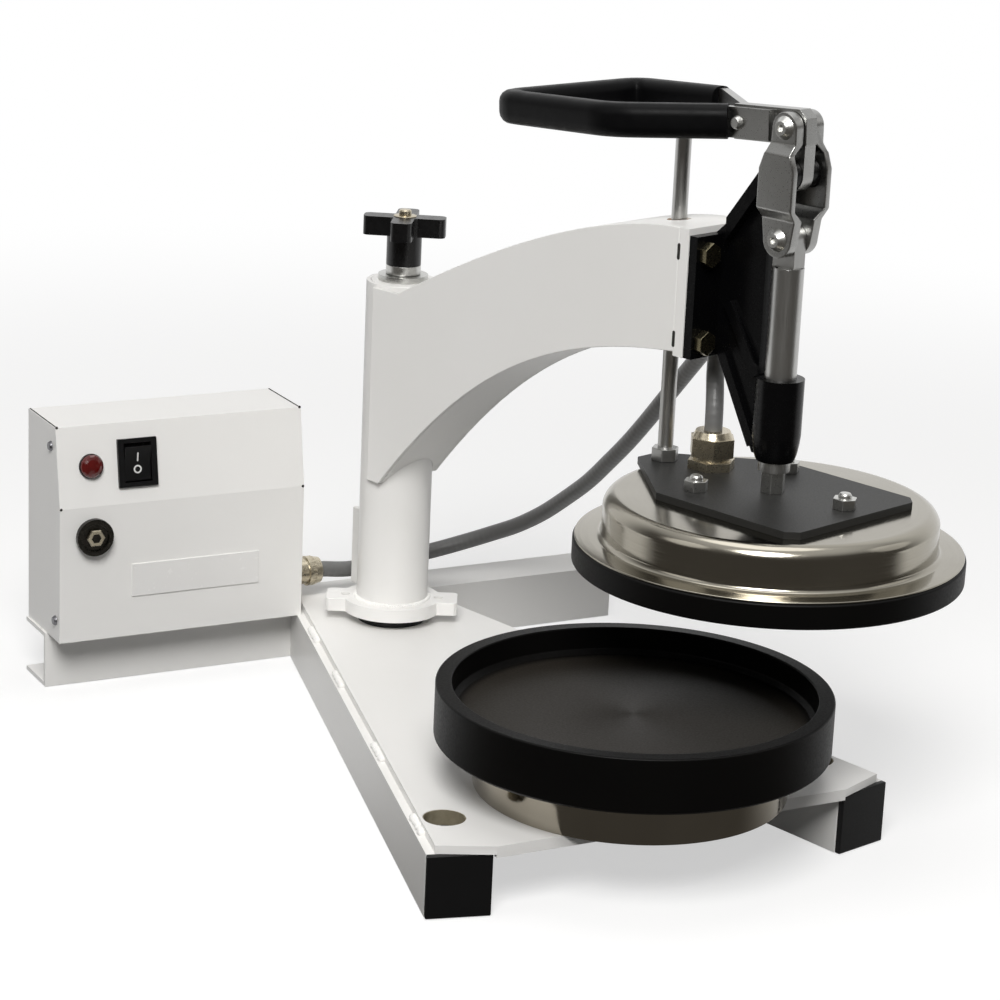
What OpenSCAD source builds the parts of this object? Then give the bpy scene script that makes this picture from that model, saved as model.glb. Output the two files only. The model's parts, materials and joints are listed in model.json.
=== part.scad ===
// Heated swing-arm pizza dough press, built up from separate named pieces.
// Millimetres. Origin on the bench, midway between the two bench bolt holes. X right, Y to the rear, Z up.

/* [Base] */
// Spacing of the two bench bolt holes
bolt_spacing = 250; // [210:1:290]
// Distance of the mould's centre behind the line of the bench bolts
mould_back = 6; // [0:0.5:12]
// Side of the square leg tube
leg_size = 38; // [34:0.5:44]
// Wall of the leg tube
leg_wall = 2.5; // [1.5:0.5:4]
// Angle of each leg from straight ahead
leg_angle = 14; // [12:0.5:16]
// Distance of the bench bolt from the leg's front end
bolt_in = 39; // [32:1:50]
// Bench bolt hole in the leg's bottom wall
bolt_hole_d = 9; // [7:0.5:12]
// Access hole above the bench bolt
access_hole_d = 25; // [20:0.5:28]
// Thickness of the leg end caps
cap_t = 4; // [2:0.5:6]
// Base plate thickness
plate_t = 5; // [4:0.5:8]
// Base plate edge set in from the leg's outer side
plate_inset = 5; // [2:0.5:8]
// Height of the base plate's turned-down front lip
lip_h = 7; // [6:0.5:16]
// Front face of the rear channel, behind the column axis
channel_front = 63.5; // [60:0.5:80]
// Depth of the rear channel
channel_depth = 38; // [32:1:50]
// Wall of the rear channel
channel_wall = 3; // [2:0.5:5]
// Reach of the rear channel to the left
channel_left = 224.5; // [210:0.5:240]
// Reach of the rear channel to the right
channel_right = 208.5; // [150:0.5:230]

/* [Control box] */
// Box width
box_w = 173.5; // [165:0.5:176]
// Box depth
box_d = 62; // [58:0.5:66]
// Box height
box_h = 145; // [138:0.5:160]
// Height of the upright part of the front panel
bend_h = 92; // [84:0.5:96]
// Lean of the upper panel, front to back
box_lean = 9; // [4:0.5:14]
// Sheet thickness
box_sheet = 1.5; // [1:0.1:2]
// Rocker switch frame width
rocker_w = 27; // [25:0.5:30]
// Rocker switch frame height
rocker_h = 32; // [30:0.5:34]
// Throw of the rocker paddle, each way from level
rocker_tilt = 8; // [5:0.5:9]
// Pilot lamp bezel diameter
lamp_d = 16.5; // [14:0.5:20]
// Screw cap diameter
fuse_d = 25; // [20:0.5:27]
// Width of the bare raised plate
badge_w = 91; // [70:1:100]
// Height of the bare raised plate
badge_h = 22.5; // [16:0.5:26]
// Conduit gland diameter
gland_d = 22; // [19:0.5:24]
// Conduit gland length outside the box
gland_len = 27; // [22:0.5:30]

/* [Column] */
// Column tube diameter
tube_d = 48; // [44:0.5:51]
// Column tube wall
tube_wall = 3; // [2:0.5:4]
// Height of the column tube's top
tube_top = 278; // [272:1:283]
// Thickness of the thrust washer
thrust_t = 6.5; // [5:0.5:8]
// Foot flange thickness
flange_t = 9; // [7:0.5:12]
// Foot flange diameter
flange_d = 66; // [64:0.5:70]
// Reach of the foot flange's ears
ear_reach = 44.5; // [42:0.5:50]
// Width of the foot flange's ears
ear_w = 24; // [20:0.5:28]
// Turn of the ears from the arm's direction
ear_turn = 45; // [35:1:55]
// Hole in each ear
ear_hole_d = 6; // [4:0.5:7]
// Reach of the rear gusset from the column axis
gusset_r = 40; // [34:0.5:46]
// Height of the rear gusset
gusset_h = 54; // [40:1:70]
// Clamping stud diameter
stud_d = 12; // [10:0.5:14]
// Span of the cross knob
knob_span = 54; // [46:0.5:64]
// Knob hub diameter
knob_hub_d = 23; // [20:0.5:26]
// Knob hub height below the cross
knob_hub_h = 19.5; // [14:0.5:22]
// Height of the knob's cross
knob_cross_h = 12.5; // [9:0.5:16]
// Turn of the cross knob at rest
knob_rest = 58; // [45:1:75]

/* [Arm] */
// Distance from the column axis to the plunger axis and to the mould's centre
reach = 325.5; // [318:0.5:333]
// Swing of the arm away from the mould in the photograph
swing_rest = 17; // [14:0.5:20]
// Arm sheet thickness
arm_t = 3; // [2:0.5:4]
// Height of the arm's lower tip on the column
arm_tip_z = 145; // [120:1:170]
// Distance from the arm's end to the plunger axis
clamp_out = 61.5; // [59.5:0.5:68]
// Thickness of the arm's end plate
end_plate_t = 7.5; // [5:0.5:9]
// Height of the arm at its end
arm_deep = 75; // [70:0.5:80]

/* [Clamp] */
// Length of the links between their pivots
link_len = 65; // [60:0.5:70]
// Height from the plunger's foot to its pivot
plunger_len = 139.5; // [134:0.5:145]
// Plunger diameter
plunger_d = 19; // [16:0.5:21]
// Barrel diameter
barrel_d = 29; // [26:0.5:32]
// Barrel height
barrel_h = 50; // [40:0.5:56]
// Barrel diameter at its foot
barrel_foot_d = 23; // [22:0.5:26]
// Height of the barrel's tapered foot
barrel_taper = 16; // [10:0.5:20]
// Bracket flange thickness
bracket_t = 6; // [5:0.5:8]
// Bracket bolt diameter
bracket_bolt_d = 8; // [6:0.5:9]
// Handle pivot and link pin diameter
pin_d = 8; // [6:0.5:9]
// Handle plate thickness
lever_t = 9.5; // [8:0.5:11]
// Ear thickness of the bracket's fork
ear_t = 6; // [5:0.5:7]

/* [Handle] */
// Reach of the handle loop behind the plunger axis
loop_reach = 202; // [194:1:210]
// Reach of the loop towards the front
loop_near = 46.5; // [44:0.5:52]
// Reach of the loop towards the rear
loop_far = 74; // [68:0.5:80]
// Height of the grip
grip_h = 20.5; // [18.5:0.5:22]
// Width of the grip
grip_w = 17; // [14:0.5:18]
// Thickness of the loop's steel core
core_t = 5; // [4:0.5:6]
// Fall of the handle towards the back
handle_drop = 4; // [2:0.5:5]

/* [Platen] */
// Gap between die and mould, handle back
open_gap = 56.2; // [50:0.2:58]
// Gap between die and mould, handle forward
close_gap = 1.2; // [0.6:0.2:4]
// Upper die diameter
die_d = 234; // [226:1:240]
// Depth of the die's rim
die_rim_t = 15; // [12:0.5:18]
// Depth of the die's plug
die_plug_t = 2.4; // [2:0.2:4]
// Stainless cover diameter
cover_d = 200; // [192:1:206]
// Stainless cover height
cover_h = 27.6; // [24:0.2:32]
// Mounting plate thickness
mount_t = 4.5; // [3.5:0.5:6]
// Half width of the mounting plate
mount_half = 58; // [52:0.5:64]
// Height of the adjusting bolt's hexagon
hex_h = 13.2; // [10:0.1:15]
// Guide rod diameter
guide_d = 9.5; // [8:0.5:10]
// Distance of the guide rod behind the plunger
guide_back = 86.5; // [80:0.5:88]

/* [Mould] */
// Lower mould diameter
mould_d = 233.6; // [226:0.2:240]
// Lower mould height
mould_h = 33.3; // [28:0.1:38]
// Width of the mould's rim
mould_rim = 9.8; // [8:0.2:14]
// Depth of the mould's recess
mould_deep = 16.8; // [10:0.2:20]
// Pedestal drum diameter
drum_d = 186; // [170:1:200]
// Pedestal drum height
drum_h = 27.5; // [22:0.5:34]
// Pedestal sheet thickness
drum_sheet = 1.5; // [1:0.1:2]

/* [Conduit] */
// Conduit diameter
conduit_d = 11; // [9:0.5:12]

/* [Hidden] */
$fn = 64;

// Clearances
weld_gap = 0.05;
run_fit = 0.05;
slide_gap = 0.3;
hole_clear = 0.2;
grip_fit = 0.15;

// Base
post_back = reach + mould_back;
plate_top = leg_size + plate_t;
leg_fx = bolt_spacing / 2 + leg_size / 2 * cos(leg_angle) + bolt_in * sin(leg_angle);
leg_fy = post_back - leg_size / 2 * sin(leg_angle) + bolt_in * cos(leg_angle);
leg_in_x = leg_fx - leg_size * cos(leg_angle);
plate_front = leg_fy + leg_size * sin(leg_angle) + cap_t * cos(leg_angle) + 2.5;
lip_t = 3;
channel_rear = channel_front + channel_depth;
function leg_x(y) = leg_fx - (y + leg_fy) * tan(leg_angle);
function plate_x(y) = leg_x(y) - plate_inset / cos(leg_angle);

// Column
tube_r = tube_d / 2;
thrust_d = 2 * tube_r - 2;
bush_t = 3;
post_r = tube_r - tube_wall - bush_t - run_fit;
flange_z = plate_top + thrust_t + slide_gap;
flange_top = flange_z + flange_t;
ear_meet = asin(ear_w / flange_d);
ear_edge = 2;
tube_cap_t = 5;
knob_washer_t = 4;
knob_collar_h = 6;
knob_z = tube_top + knob_washer_t + slide_gap;
stud_top = knob_z + knob_collar_h + knob_hub_h + knob_cross_h - 5;

// Platen stack, from the mould up
mould_z = plate_top + drum_h;
mould_top = mould_z + mould_h;
die_z = mould_top + open_gap;
die_top = die_z + die_plug_t + die_rim_t;
cover_top = die_top + cover_h;
mount_top = cover_top + mount_t;
plunger_z = mount_top + hex_h;
travel = open_gap - close_gap;
pivot_c = plunger_z + plunger_len;
pivot_a = pivot_c + link_len;
pivot_b = pivot_a - travel / 2;
mould_bore_r = mould_d / 2 - mould_rim;
die_plug_r = mould_bore_r - 2;
cover_sheet = 1.2;
shoulder_r = 9;
stud_spots = [[-29.3, -35.3], [48.8, 7.4], [-23.6, 41.8]];
platen_stud_d = 8;
hex_stud_d = 8;
guide_top = pivot_a - 1;
cable_hole_d = 14;

// Arm
arm_len = reach - clamp_out;
arm_in = tube_r + weld_gap;
arm_out = arm_in + arm_t;
arm_low_z = tube_top + 8;
arm_top_z = arm_low_z + arm_deep;
guide_x = reach - guide_back;
end_lo = arm_low_z - 2.5;
end_hi = arm_top_z - 4;
end_x = arm_len + end_plate_t;
face_x = end_x + bracket_t;
bracket_half = arm_out - 1;
bolt_y = 17;
bolt_lo = end_lo + 9.5;
bolt_hi = end_hi - 11;
guide_bush_d = guide_d + 5;
nut_room = 12;

// Clamp
fork_in = lever_t / 2 + 0.5;
fork_out = fork_in + ear_t;
link_out = fork_out + 1.25;
bulge_in = fork_out + 1.75;
bulge_out = bulge_in + 4.5;
tongue_half = lever_t / 2 + 0.25;
tongue_len = 17;
tongue_r = 8;
barrel_z = plunger_z + 6.3;
barrel_top = barrel_z + barrel_h;
plunger_r = plunger_d / 2;
web_half = 4;
web_x = reach - 13.6;

// Handle
core_y = lever_t / 2 + core_t / 2;
core_h = grip_h - 2.5;
loop_back = loop_reach;
loop_route = [
  [-14, -core_y], [-46, -core_y], [-0.505 * loop_back, -loop_near], [-loop_back, -loop_near + 10.5],
  [-0.96 * loop_back, loop_far], [-0.565 * loop_back, loop_far - 7], [-46, core_y], [-31.5, core_y]
];
handle_screw_x = -37.5;
handle_screw_d = 6;

// Box
box_x0 = -channel_left + 1.5;
box_x1 = box_x0 + box_w;
box_y1 = channel_rear;
box_y0 = box_y1 - box_d;
box_z0 = leg_size;
box_z1 = box_z0 + box_h;
box_bend = box_z0 + bend_h;
lean = atan(box_lean / (box_h - bend_h));
box_path = [[box_y0, box_z0], [box_y0, box_bend], [box_y0 + box_lean, box_z1], [box_y1, box_z1]];
panel_mid = (box_h - bend_h) / 2;
lamp_x = box_x0 + 22.6;
bezel_t = 2;
rocker_x = box_x0 + 54.6;
fuse_z = box_z0 + 72.5;
badge_x = box_x0 + 95.5;
badge_z = box_z0 + 38.7;
gland_y = channel_front + 8.5;
gland_z = box_z0 + 20;
gland_end = box_x1 + gland_len;
rocker_open_w = rocker_w - 8;
rocker_open_h = rocker_h - 6;
rocker_axis = 3;
screw_y = 8;
screw_lo = box_z0 + 14;
screw_hi = box_z1 - 14;

// Conduit, route points in order from the gland to the platen
conduit_joint_at = [reach - 57.5, 10, mount_top + 23.5];
upper_steps = [
  [0, 0, 2 * weld_gap], [0, 0, 5], [-1, 1, 12.5], [-4, 4, 22], [-9, 9, 31], [-15, 16, 38], [-22, 24, 42.5],
  [-30, 32, 44]
];
lower_route = [
  [0, 72, 56], [23, 72, 57], [46, 72, 60], [68, 69, 64], [87, 62, 70], [102, 50, 78], [113, 33, 88],
  [121, 12, 102], [126, -11, 119], [129, -35, 137], [130, -59, 157], [130, -83, 177], [129, -107, 198],
  [127, -130, 218], [125, -152, 237], [122, -172, 253], [119, -189, 266], [115, -203, 274]
];
upper_route = [for (p = upper_steps) conduit_joint_at + p];

// Colours
white_paint = [0.87, 0.85, 0.80];
black_paint = [0.09, 0.09, 0.10];
bright_steel = [0.74, 0.74, 0.73];
dark_steel = [0.35, 0.35, 0.36];
yellow_zinc = [0.72, 0.62, 0.36];
stainless = [0.66, 0.62, 0.57];
black_coat = [0.13, 0.13, 0.13];
black_plastic = [0.06, 0.06, 0.06];
grey_plastic = [0.36, 0.37, 0.38];
bronze = [0.62, 0.47, 0.27];

// Small functions
function flip(v) = [for (i = [len(v) - 1:-1:0]) v[i]];
function unit(v) = v / norm(v);
function side_of(v) = [-v[1], v[0]];
function bez2(a, b, c, t) = a * (1 - t) * (1 - t) + b * 2 * t * (1 - t) + c * t * t;
function bez3(a, b, c, d, t) = bez2(a, b, c, t) * (1 - t) + bez2(b, c, d, t) * t;
function dir_at(p, i) =
  i == 0 ? unit(p[1] - p[0]) :
  i == len(p) - 1 ? unit(p[i] - p[i - 1]) :
  unit(unit(p[i] - p[i - 1]) + unit(p[i + 1] - p[i]));
function mitre_at(p, i) = i == 0 || i == len(p) - 1 ? 1 : 1 / (dir_at(p, i) * unit(p[i + 1] - p[i]));
function shifted(p, d) = [for (i = [0:len(p) - 1]) p[i] + side_of(dir_at(p, i)) * d * mitre_at(p, i)];
function ribbon(p, d0, d1) = concat(shifted(p, d0), flip(shifted(p, d1)));
function corner(p, i, r) =
  let (a = p[i] + unit(p[i - 1] - p[i]) * r, b = p[i] + unit(p[i + 1] - p[i]) * r)
  [for (k = [0:6]) bez2(a, p[i], b, k / 6)];
function arc(cx, cy, r, a0, a1, n) = [for (k = [0:n])
  let (a = a0 + (a1 - a0) * k / n) [cx + r * cos(a), cy + r * sin(a)]];
// Point of the arm frame in the frame of the column axis
function arm_point(p) = let (a = swing_rest - 90)
  [p[0] * cos(a) - p[1] * sin(a), p[0] * sin(a) + p[1] * cos(a), p[2]];
// Ring of points round a route, square to it
function ring(p, i, r, n) =
  let (t = dir_at(p, i), e = unit(cross([0.3, 1, 0.2], t)), f = cross(t, e))
  [for (k = [0:n - 1]) p[i] + r * (e * cos(360 * k / n) + f * sin(360 * k / n))];
// Ring of a flat route's section
function flat_ring(p, i, section) =
  let (s = side_of(dir_at(p, i)) * mitre_at(p, i))
  [for (q = section) [p[i][0] + s[0] * q[0], p[i][1] + s[1] * q[0], q[1]]];

// Solid through a list of rings
module skin(rings) {
  n = len(rings[0]);
  m = len(rings);
  sides = [for (i = [0:m - 2], k = [0:n - 1], h = [0, 1])
    let (a = i * n + k, b = i * n + (k + 1) % n)
    h == 0 ? [a, a + n, b + n] : [a, b + n, b]];
  starts = [for (k = [1:n - 2]) [0, k, k + 1]];
  ends = [for (k = [1:n - 2]) [(m - 1) * n, (m - 1) * n + k + 1, (m - 1) * n + k]];
  polyhedron(points = [for (r = rings) each r], faces = concat(sides, starts, ends));
}

// Frames
module at_post() translate([0, post_back, 0]) children();
module at_arm() at_post() rotate([0, 0, swing_rest - 90]) children();
module at_platen() at_arm() translate([reach, 0, 0]) children();
module at_handle() at_platen() translate([0, 0, pivot_a]) rotate([0, -handle_drop, 0]) children();
module at_mould() at_post() translate([0, -reach, 0]) children();
module at_leg() at_post() translate([-leg_fx, -leg_fy, 0]) rotate([0, 0, -leg_angle]) children();
// Upper panel of the box, x along the width, y into the box, z up the panel from its middle
module at_panel(x) at_post() translate([x, box_y0 + box_lean / 2, box_bend + panel_mid])
  rotate([-lean, 0, 0]) children();
// Outline in x and z, from y0 to y1
module slab(y0, y1) translate([0, y1, 0]) rotate([90, 0, 0]) linear_extrude(y1 - y0) children();
// Rod along y, from y0 to y1
module cross_rod(r, y0, y1) translate([0, y1, 0]) rotate([90, 0, 0]) cylinder(r = r, h = y1 - y0);
module hexagon(af, h) cylinder(d = af / cos(30), h = h, $fn = 6);

// Base pieces
module base_plate() color(white_paint) at_post() {
  y1 = -(leg_fy + 1.5);
  fx = leg_in_x + 0.4;
  half = [[fx, -plate_front], [plate_x(y1), y1], [plate_x(channel_front), channel_front]];
  difference() {
    translate([0, 0, leg_size]) linear_extrude(plate_t)
      polygon(concat(half, flip([for (p = half) [-p[0], p[1]]])));
    translate([0, 0, leg_size - 1]) cylinder(r = post_r + weld_gap, h = plate_t + 2);
    for (s = [-1, 1]) translate([s * bolt_spacing / 2, -post_back, leg_size - 1])
      cylinder(d = access_hole_d, h = plate_t + 2);
    translate([0, -reach, leg_size - 1]) cylinder(d = mould_bolt_d + 2 * hole_clear, h = plate_t + 2);
  }
  translate([-fx, -plate_front, plate_top - lip_h]) cube([2 * fx, lip_t, lip_h - plate_t]);
}
mould_bolt_d = 10;

module leg_tube() {
  long = (leg_fy + channel_front) / cos(leg_angle) + leg_size;
  difference() {
    at_leg() difference() {
      cube([leg_size, long, leg_size]);
      translate([leg_wall, -1, leg_wall])
        cube([leg_size - 2 * leg_wall, long + 2, leg_size - 2 * leg_wall]);
      translate([leg_size / 2, bolt_in, -1]) cylinder(d = bolt_hole_d, h = leg_wall + 2);
      translate([leg_size / 2, bolt_in, leg_size - leg_wall - 1])
        cylinder(d = access_hole_d, h = leg_wall + 2);
    }
    at_post() translate([-400, channel_front, -1]) cube([800, 400, leg_size + 2]);
  }
}
module left_leg() color(white_paint) leg_tube();
module right_leg() color(white_paint) mirror([1, 0, 0]) leg_tube();

module end_cap() at_leg() {
  inside = leg_size - 2 * leg_wall - 2 * hole_clear;
  translate([0, -cap_t, 0]) cube([leg_size, cap_t, leg_size]);
  translate([leg_wall + hole_clear, 0, leg_wall + hole_clear]) cube([inside, 12, inside]);
}
module leg_end_caps() color(black_plastic) {
  end_cap();
  mirror([1, 0, 0]) end_cap();
}

module rear_channel() color(white_paint) at_post() {
  long = channel_left + channel_right;
  difference() {
    translate([-channel_left, channel_front, 0]) cube([long, channel_depth, leg_size]);
    translate([-channel_left - 1, channel_front + channel_wall, channel_wall])
      cube([long + 2, channel_depth, leg_size - 2 * channel_wall]);
    for (x = box_bolt_xs) translate([x, box_bolt_y, leg_size - channel_wall - 1])
      cylinder(d = box_bolt_d + 2 * hole_clear, h = channel_wall + 2);
  }
}

module pivot_post() color(dark_steel) at_post() {
  top = tube_top - tube_cap_t - 1.5;
  translate([0, 0, leg_size - 14]) cylinder(r = post_r, h = top - leg_size + 14);
  translate([0, 0, top]) cylinder(d = stud_d, h = stud_top - top);
}

module thrust_washer() color(black_plastic) at_post() translate([0, 0, plate_top]) difference() {
  cylinder(d = thrust_d, h = thrust_t);
  translate([0, 0, -1]) cylinder(r = post_r + hole_clear, h = thrust_t + 2);
}

// Mould pieces
module pedestal_drum() color(stainless) at_mould() translate([0, 0, plate_top]) difference() {
  cylinder(d = drum_d, h = drum_h, $fn = 128);
  translate([0, 0, -1]) cylinder(d = drum_d - 2 * drum_sheet, h = drum_h + 1 - drum_sheet, $fn = 128);
  cylinder(d = mould_bolt_d + 2 * hole_clear, h = drum_h + 1);
}

module lower_mould() color(black_coat) at_mould() translate([0, 0, mould_z]) difference() {
  rotate_extrude($fn = 160) polygon(concat(
    [[0, 0], [mould_d / 2 - 2, 0], [mould_d / 2, 2]],
    arc(mould_d / 2 - 1.2, mould_h - 1.2, 1.2, 0, 90, 5),
    arc(mould_bore_r + 1, mould_h - 1, 1, 90, 180, 5),
    [[mould_bore_r, mould_h - mould_deep + 3], [mould_bore_r - 3, mould_h - mould_deep]],
    [[0, mould_h - mould_deep]]));
  translate([0, 0, -1]) cylinder(d = mould_bolt_d + 2 * hole_clear, h = mould_h - mould_deep - 3);
}

module mould_spacer() color(bright_steel) at_mould() translate([0, 0, plate_top]) difference() {
  cylinder(d = mould_bolt_d + 14, h = drum_h - drum_sheet);
  translate([0, 0, -1]) cylinder(d = mould_bolt_d + 2 * hole_clear, h = drum_h + 2);
}

module mould_bolt() color(bright_steel) at_mould() {
  translate([0, 0, leg_size - 6.5]) hexagon(17, 6.5);
  translate([0, 0, leg_size - 1]) cylinder(d = mould_bolt_d, h = mould_z - leg_size + mould_h - mould_deep - 5);
}

// Control box pieces
box_bolt_d = 6;
box_bolt_xs = [box_x0 + 25, box_x1 - 25];
box_bolt_y = channel_front + channel_depth / 2 + 2;
side_path = ribbon(box_path, 0, -box_sheet);
side_inner = flip([for (i = [4:7]) side_path[i]]);

module along_box(x0, x1) translate([x0, 0, 0]) rotate([90, 0, 90]) linear_extrude(x1 - x0) children();

module box_chassis() color(white_paint) at_post() difference() {
  along_box(box_x0 + box_sheet, box_x1 - box_sheet) polygon([
    [box_y0 + box_sheet, box_z0], [box_y1, box_z0], [box_y1, box_z1 - box_sheet],
    [box_y1 - box_sheet, box_z1 - box_sheet], [box_y1 - box_sheet, box_z0 + box_sheet],
    [box_y0 + box_sheet, box_z0 + box_sheet]]);
  for (x = box_bolt_xs) translate([x, box_bolt_y, box_z0 - 1])
    cylinder(d = box_bolt_d + 2 * hole_clear, h = box_sheet + 2);
}

module side_screw_spots() {
  for (x = [0, 1], q = [[box_y0 + screw_y, screw_lo], [box_y0 + box_lean + screw_y, screw_hi]])
    translate([x == 0 ? box_x0 : box_x1, q[0], q[1]]) rotate([0, x == 0 ? -90 : 90, 0]) children();
}

module box_cover() color(white_paint) at_post() difference() {
  union() {
    along_box(box_x0, box_x1) polygon(side_path);
    for (x = [box_x0 + box_sheet, box_x1 - 2 * box_sheet]) {
      translate([x, box_y0 + box_sheet / 2, screw_lo - 6]) cube([box_sheet, screw_y + 5, 12]);
      along_box(x, x + box_sheet) polygon([
        [box_y0 + box_lean - 1, screw_hi - 6], [box_y0 + box_lean + screw_y + 5, screw_hi - 6],
        [box_y0 + box_lean + screw_y + 5, box_z1 - box_sheet / 2], [box_y0 + box_lean, box_z1 - box_sheet / 2]]);
    }
  }
  translate([0, -post_back, 0]) at_panel(rocker_x)
    translate([-rocker_w / 2 + 2.5, -5, -rocker_h / 2 + 2]) cube([rocker_w - 5, 10, rocker_h - 4]);
  translate([0, -post_back, 0]) at_panel(lamp_x) cross_rod(lamp_d / 2 - 2.2, -5, 5);
  translate([lamp_x, box_y0, fuse_z]) cross_rod(fuse_d / 2 - 4, -5, 5);
  side_screw_spots() translate([0, 0, -8]) cylinder(d = 3 + 2 * hole_clear, h = 10, $fn = 24);
}

module box_side(x) at_post() difference() {
  along_box(x, x + box_sheet) polygon(concat(side_inner, [[box_y1, box_z0]]));
  side_screw_spots() translate([0, 0, -8]) cylinder(d = 3 + 2 * hole_clear, h = 10, $fn = 24);
  if (x > box_x0) translate([x - 1, gland_y, gland_z]) rotate([0, 90, 0])
    cylinder(d = gland_d - 6 + 2 * hole_clear, h = box_sheet + 2);
}
module box_left_side() color(white_paint) box_side(box_x0);
module box_right_side() color(white_paint) box_side(box_x1 - box_sheet);

module box_fasteners() color(bright_steel) at_post() {
  side_screw_spots() {
    cylinder(d1 = 7, d2 = 5, h = 2, $fn = 32);
    translate([0, 0, -6]) cylinder(d = 3, h = 6.5, $fn = 24);
  }
  for (x = box_bolt_xs) translate([x, box_bolt_y, 0]) {
    translate([0, 0, box_z0 + box_sheet]) hexagon(10, 4);
    translate([0, 0, box_z0 - channel_wall - 10]) cylinder(d = box_bolt_d, h = channel_wall + box_sheet + 12);
    translate([0, 0, box_z0 - channel_wall - 5]) hexagon(10, 5);
  }
}

module rocker_frame() color(black_plastic) at_panel(rocker_x) difference() {
  union() {
    translate([-rocker_w / 2, -2.5, -rocker_h / 2]) cube([rocker_w, 2.5, rocker_h]);
    translate([-rocker_w / 2 + 2.7, -1, -rocker_h / 2 + 2.2]) cube([rocker_w - 5.4, 20, rocker_h - 4.4]);
  }
  translate([-rocker_open_w / 2, -5, -rocker_open_h / 2]) cube([rocker_open_w, 18, rocker_open_h]);
  translate([0, rocker_axis, 0]) rotate([0, 90, 0])
    cylinder(d = 3 + 2 * run_fit, h = rocker_open_w + 3, center = true, $fn = 32);
}

module rocker_paddle() color(black_plastic) at_panel(rocker_x) translate([0, rocker_axis, 0])
  rotate([rocker_tilt, 0, 0]) {
    tip = rocker_open_h / 2 - 1.6;
    half = rocker_open_w / 2 - 0.4;
    rotate([90, 0, 90]) translate([0, 0, -half]) linear_extrude(2 * half)
      polygon([[4, -5], [4, 5], [-4, tip], [-5.6, tip], [-4.2, 0], [-5.6, -tip], [-4, -tip]]);
    rotate([0, 90, 0]) cylinder(d = 3, h = 2 * half + 2, center = true, $fn = 32);
  }

module lamp_bezel() color(bright_steel) at_panel(lamp_x) difference() {
  union() {
    cross_rod(lamp_d / 2, -bezel_t, 0);
    cross_rod(lamp_d / 2 - 2.4, -1, 14);
  }
  cross_rod(lamp_d / 2 - 3.4, -4, 12);
}

module lamp_lens() color([0.75, 0.20, 0.10]) at_panel(lamp_x) {
  cross_rod(lamp_d / 2 - 3.5, -bezel_t - 1, 10);
  cross_rod(lamp_d / 2 - 1, -bezel_t - 2, -bezel_t - weld_gap);
  translate([0, -bezel_t - 1.9, 0]) rotate([90, 0, 0])
    cylinder(r1 = lamp_d / 2 - 1, r2 = lamp_d / 2 - 4, h = 2.1);
}

module fuse_body() color(black_plastic) at_post() translate([lamp_x, box_y0, fuse_z]) difference() {
  union() {
    cross_rod(fuse_d / 2 - 1, -2, 0);
    cross_rod(fuse_d / 2 - 4.2, -1, 24);
  }
  cross_rod(fuse_d / 2 - 6, -3, 22);
}

module fuse_cap() color(dark_steel) at_post() translate([lamp_x, box_y0, fuse_z]) {
  difference() {
    cross_rod(fuse_d / 2, -6.5, -2 - slide_gap);
    cross_rod(fuse_d / 2 - 3.5, -8, -5);
  }
  translate([0, -4.5, 0]) rotate([90, 0, 0]) hexagon(fuse_d * 0.42, 3);
  cross_rod(fuse_d / 2 - 6 - run_fit, -3, 14);
}

module badge_plate() color(white_paint) at_post()
  translate([badge_x - badge_w / 2, box_y0 - 0.8, badge_z - badge_h / 2]) cube([badge_w, 0.8, badge_h]);

module conduit_gland() color(bright_steel) at_post() translate([box_x1, gland_y, gland_z]) rotate([0, 90, 0])
  difference() {
    union() {
      translate([0, 0, -8]) cylinder(d = gland_d - 6, h = 9);
      hexagon(gland_d + 3, 8);
      translate([0, 0, 8]) cylinder(d = gland_d - 4, h = gland_len - 17);
      translate([0, 0, gland_len - 10]) cylinder(d1 = gland_d - 1, d2 = gland_d - 4, h = 10);
    }
    translate([0, 0, -9]) cylinder(d = conduit_d - 3, h = gland_len + 10);
  }

module gland_nut() color(bright_steel) at_post()
  translate([box_x1 - box_sheet, gland_y, gland_z]) rotate([0, -90, 0]) difference() {
    hexagon(gland_d + 2, 5);
    translate([0, 0, -1]) cylinder(d = gland_d - 6 + 2 * hole_clear, h = 8);
  }

module terminal_block() color([0.85, 0.85, 0.82]) at_post() difference() {
  translate([box_x0 + 60, box_y0 + 26, box_z0 + box_sheet]) cube([64, 20, 18]);
  for (i = [0:5]) translate([box_x0 + 66 + 10.4 * i, box_y0 + 25, box_z0 + box_sheet + 9])
    rotate([-90, 0, 0]) cylinder(d = 5, h = 22, $fn = 24);
}

// Column pieces
module column_tube() color(white_paint) at_arm() difference() {
  translate([0, 0, flange_z]) cylinder(r = tube_r, h = tube_top - flange_z);
  translate([0, 0, flange_z - 1]) cylinder(r = tube_r - tube_wall, h = tube_top);
}

function ear_end(s) = [
  [s * (ear_reach - ear_edge), -s * ear_w / 2], [s * ear_reach, -s * (ear_w / 2 - ear_edge)],
  [s * ear_reach, s * (ear_w / 2 - ear_edge)], [s * (ear_reach - ear_edge), s * ear_w / 2]
];

module foot_flange() color(white_paint) at_arm() translate([0, 0, flange_z]) difference() {
  rotate([0, 0, ear_turn]) linear_extrude(flange_t) polygon(concat(
    ear_end(1), arc(0, 0, flange_d / 2, ear_meet, 180 - ear_meet, 20),
    ear_end(-1), arc(0, 0, flange_d / 2, 180 + ear_meet, 360 - ear_meet, 20)));
  translate([0, 0, -1]) cylinder(r = tube_r + weld_gap, h = flange_t + 2);
  for (s = [-1, 1]) rotate([0, 0, ear_turn]) translate([s * (ear_reach - 13), 0, -1])
    cylinder(d = ear_hole_d, h = flange_t + 2);
}

module rear_gusset() color(white_paint) at_arm()
  translate([-gusset_r, -2, flange_top]) cube([gusset_r - tube_r - weld_gap, 4, gusset_h]);

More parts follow.
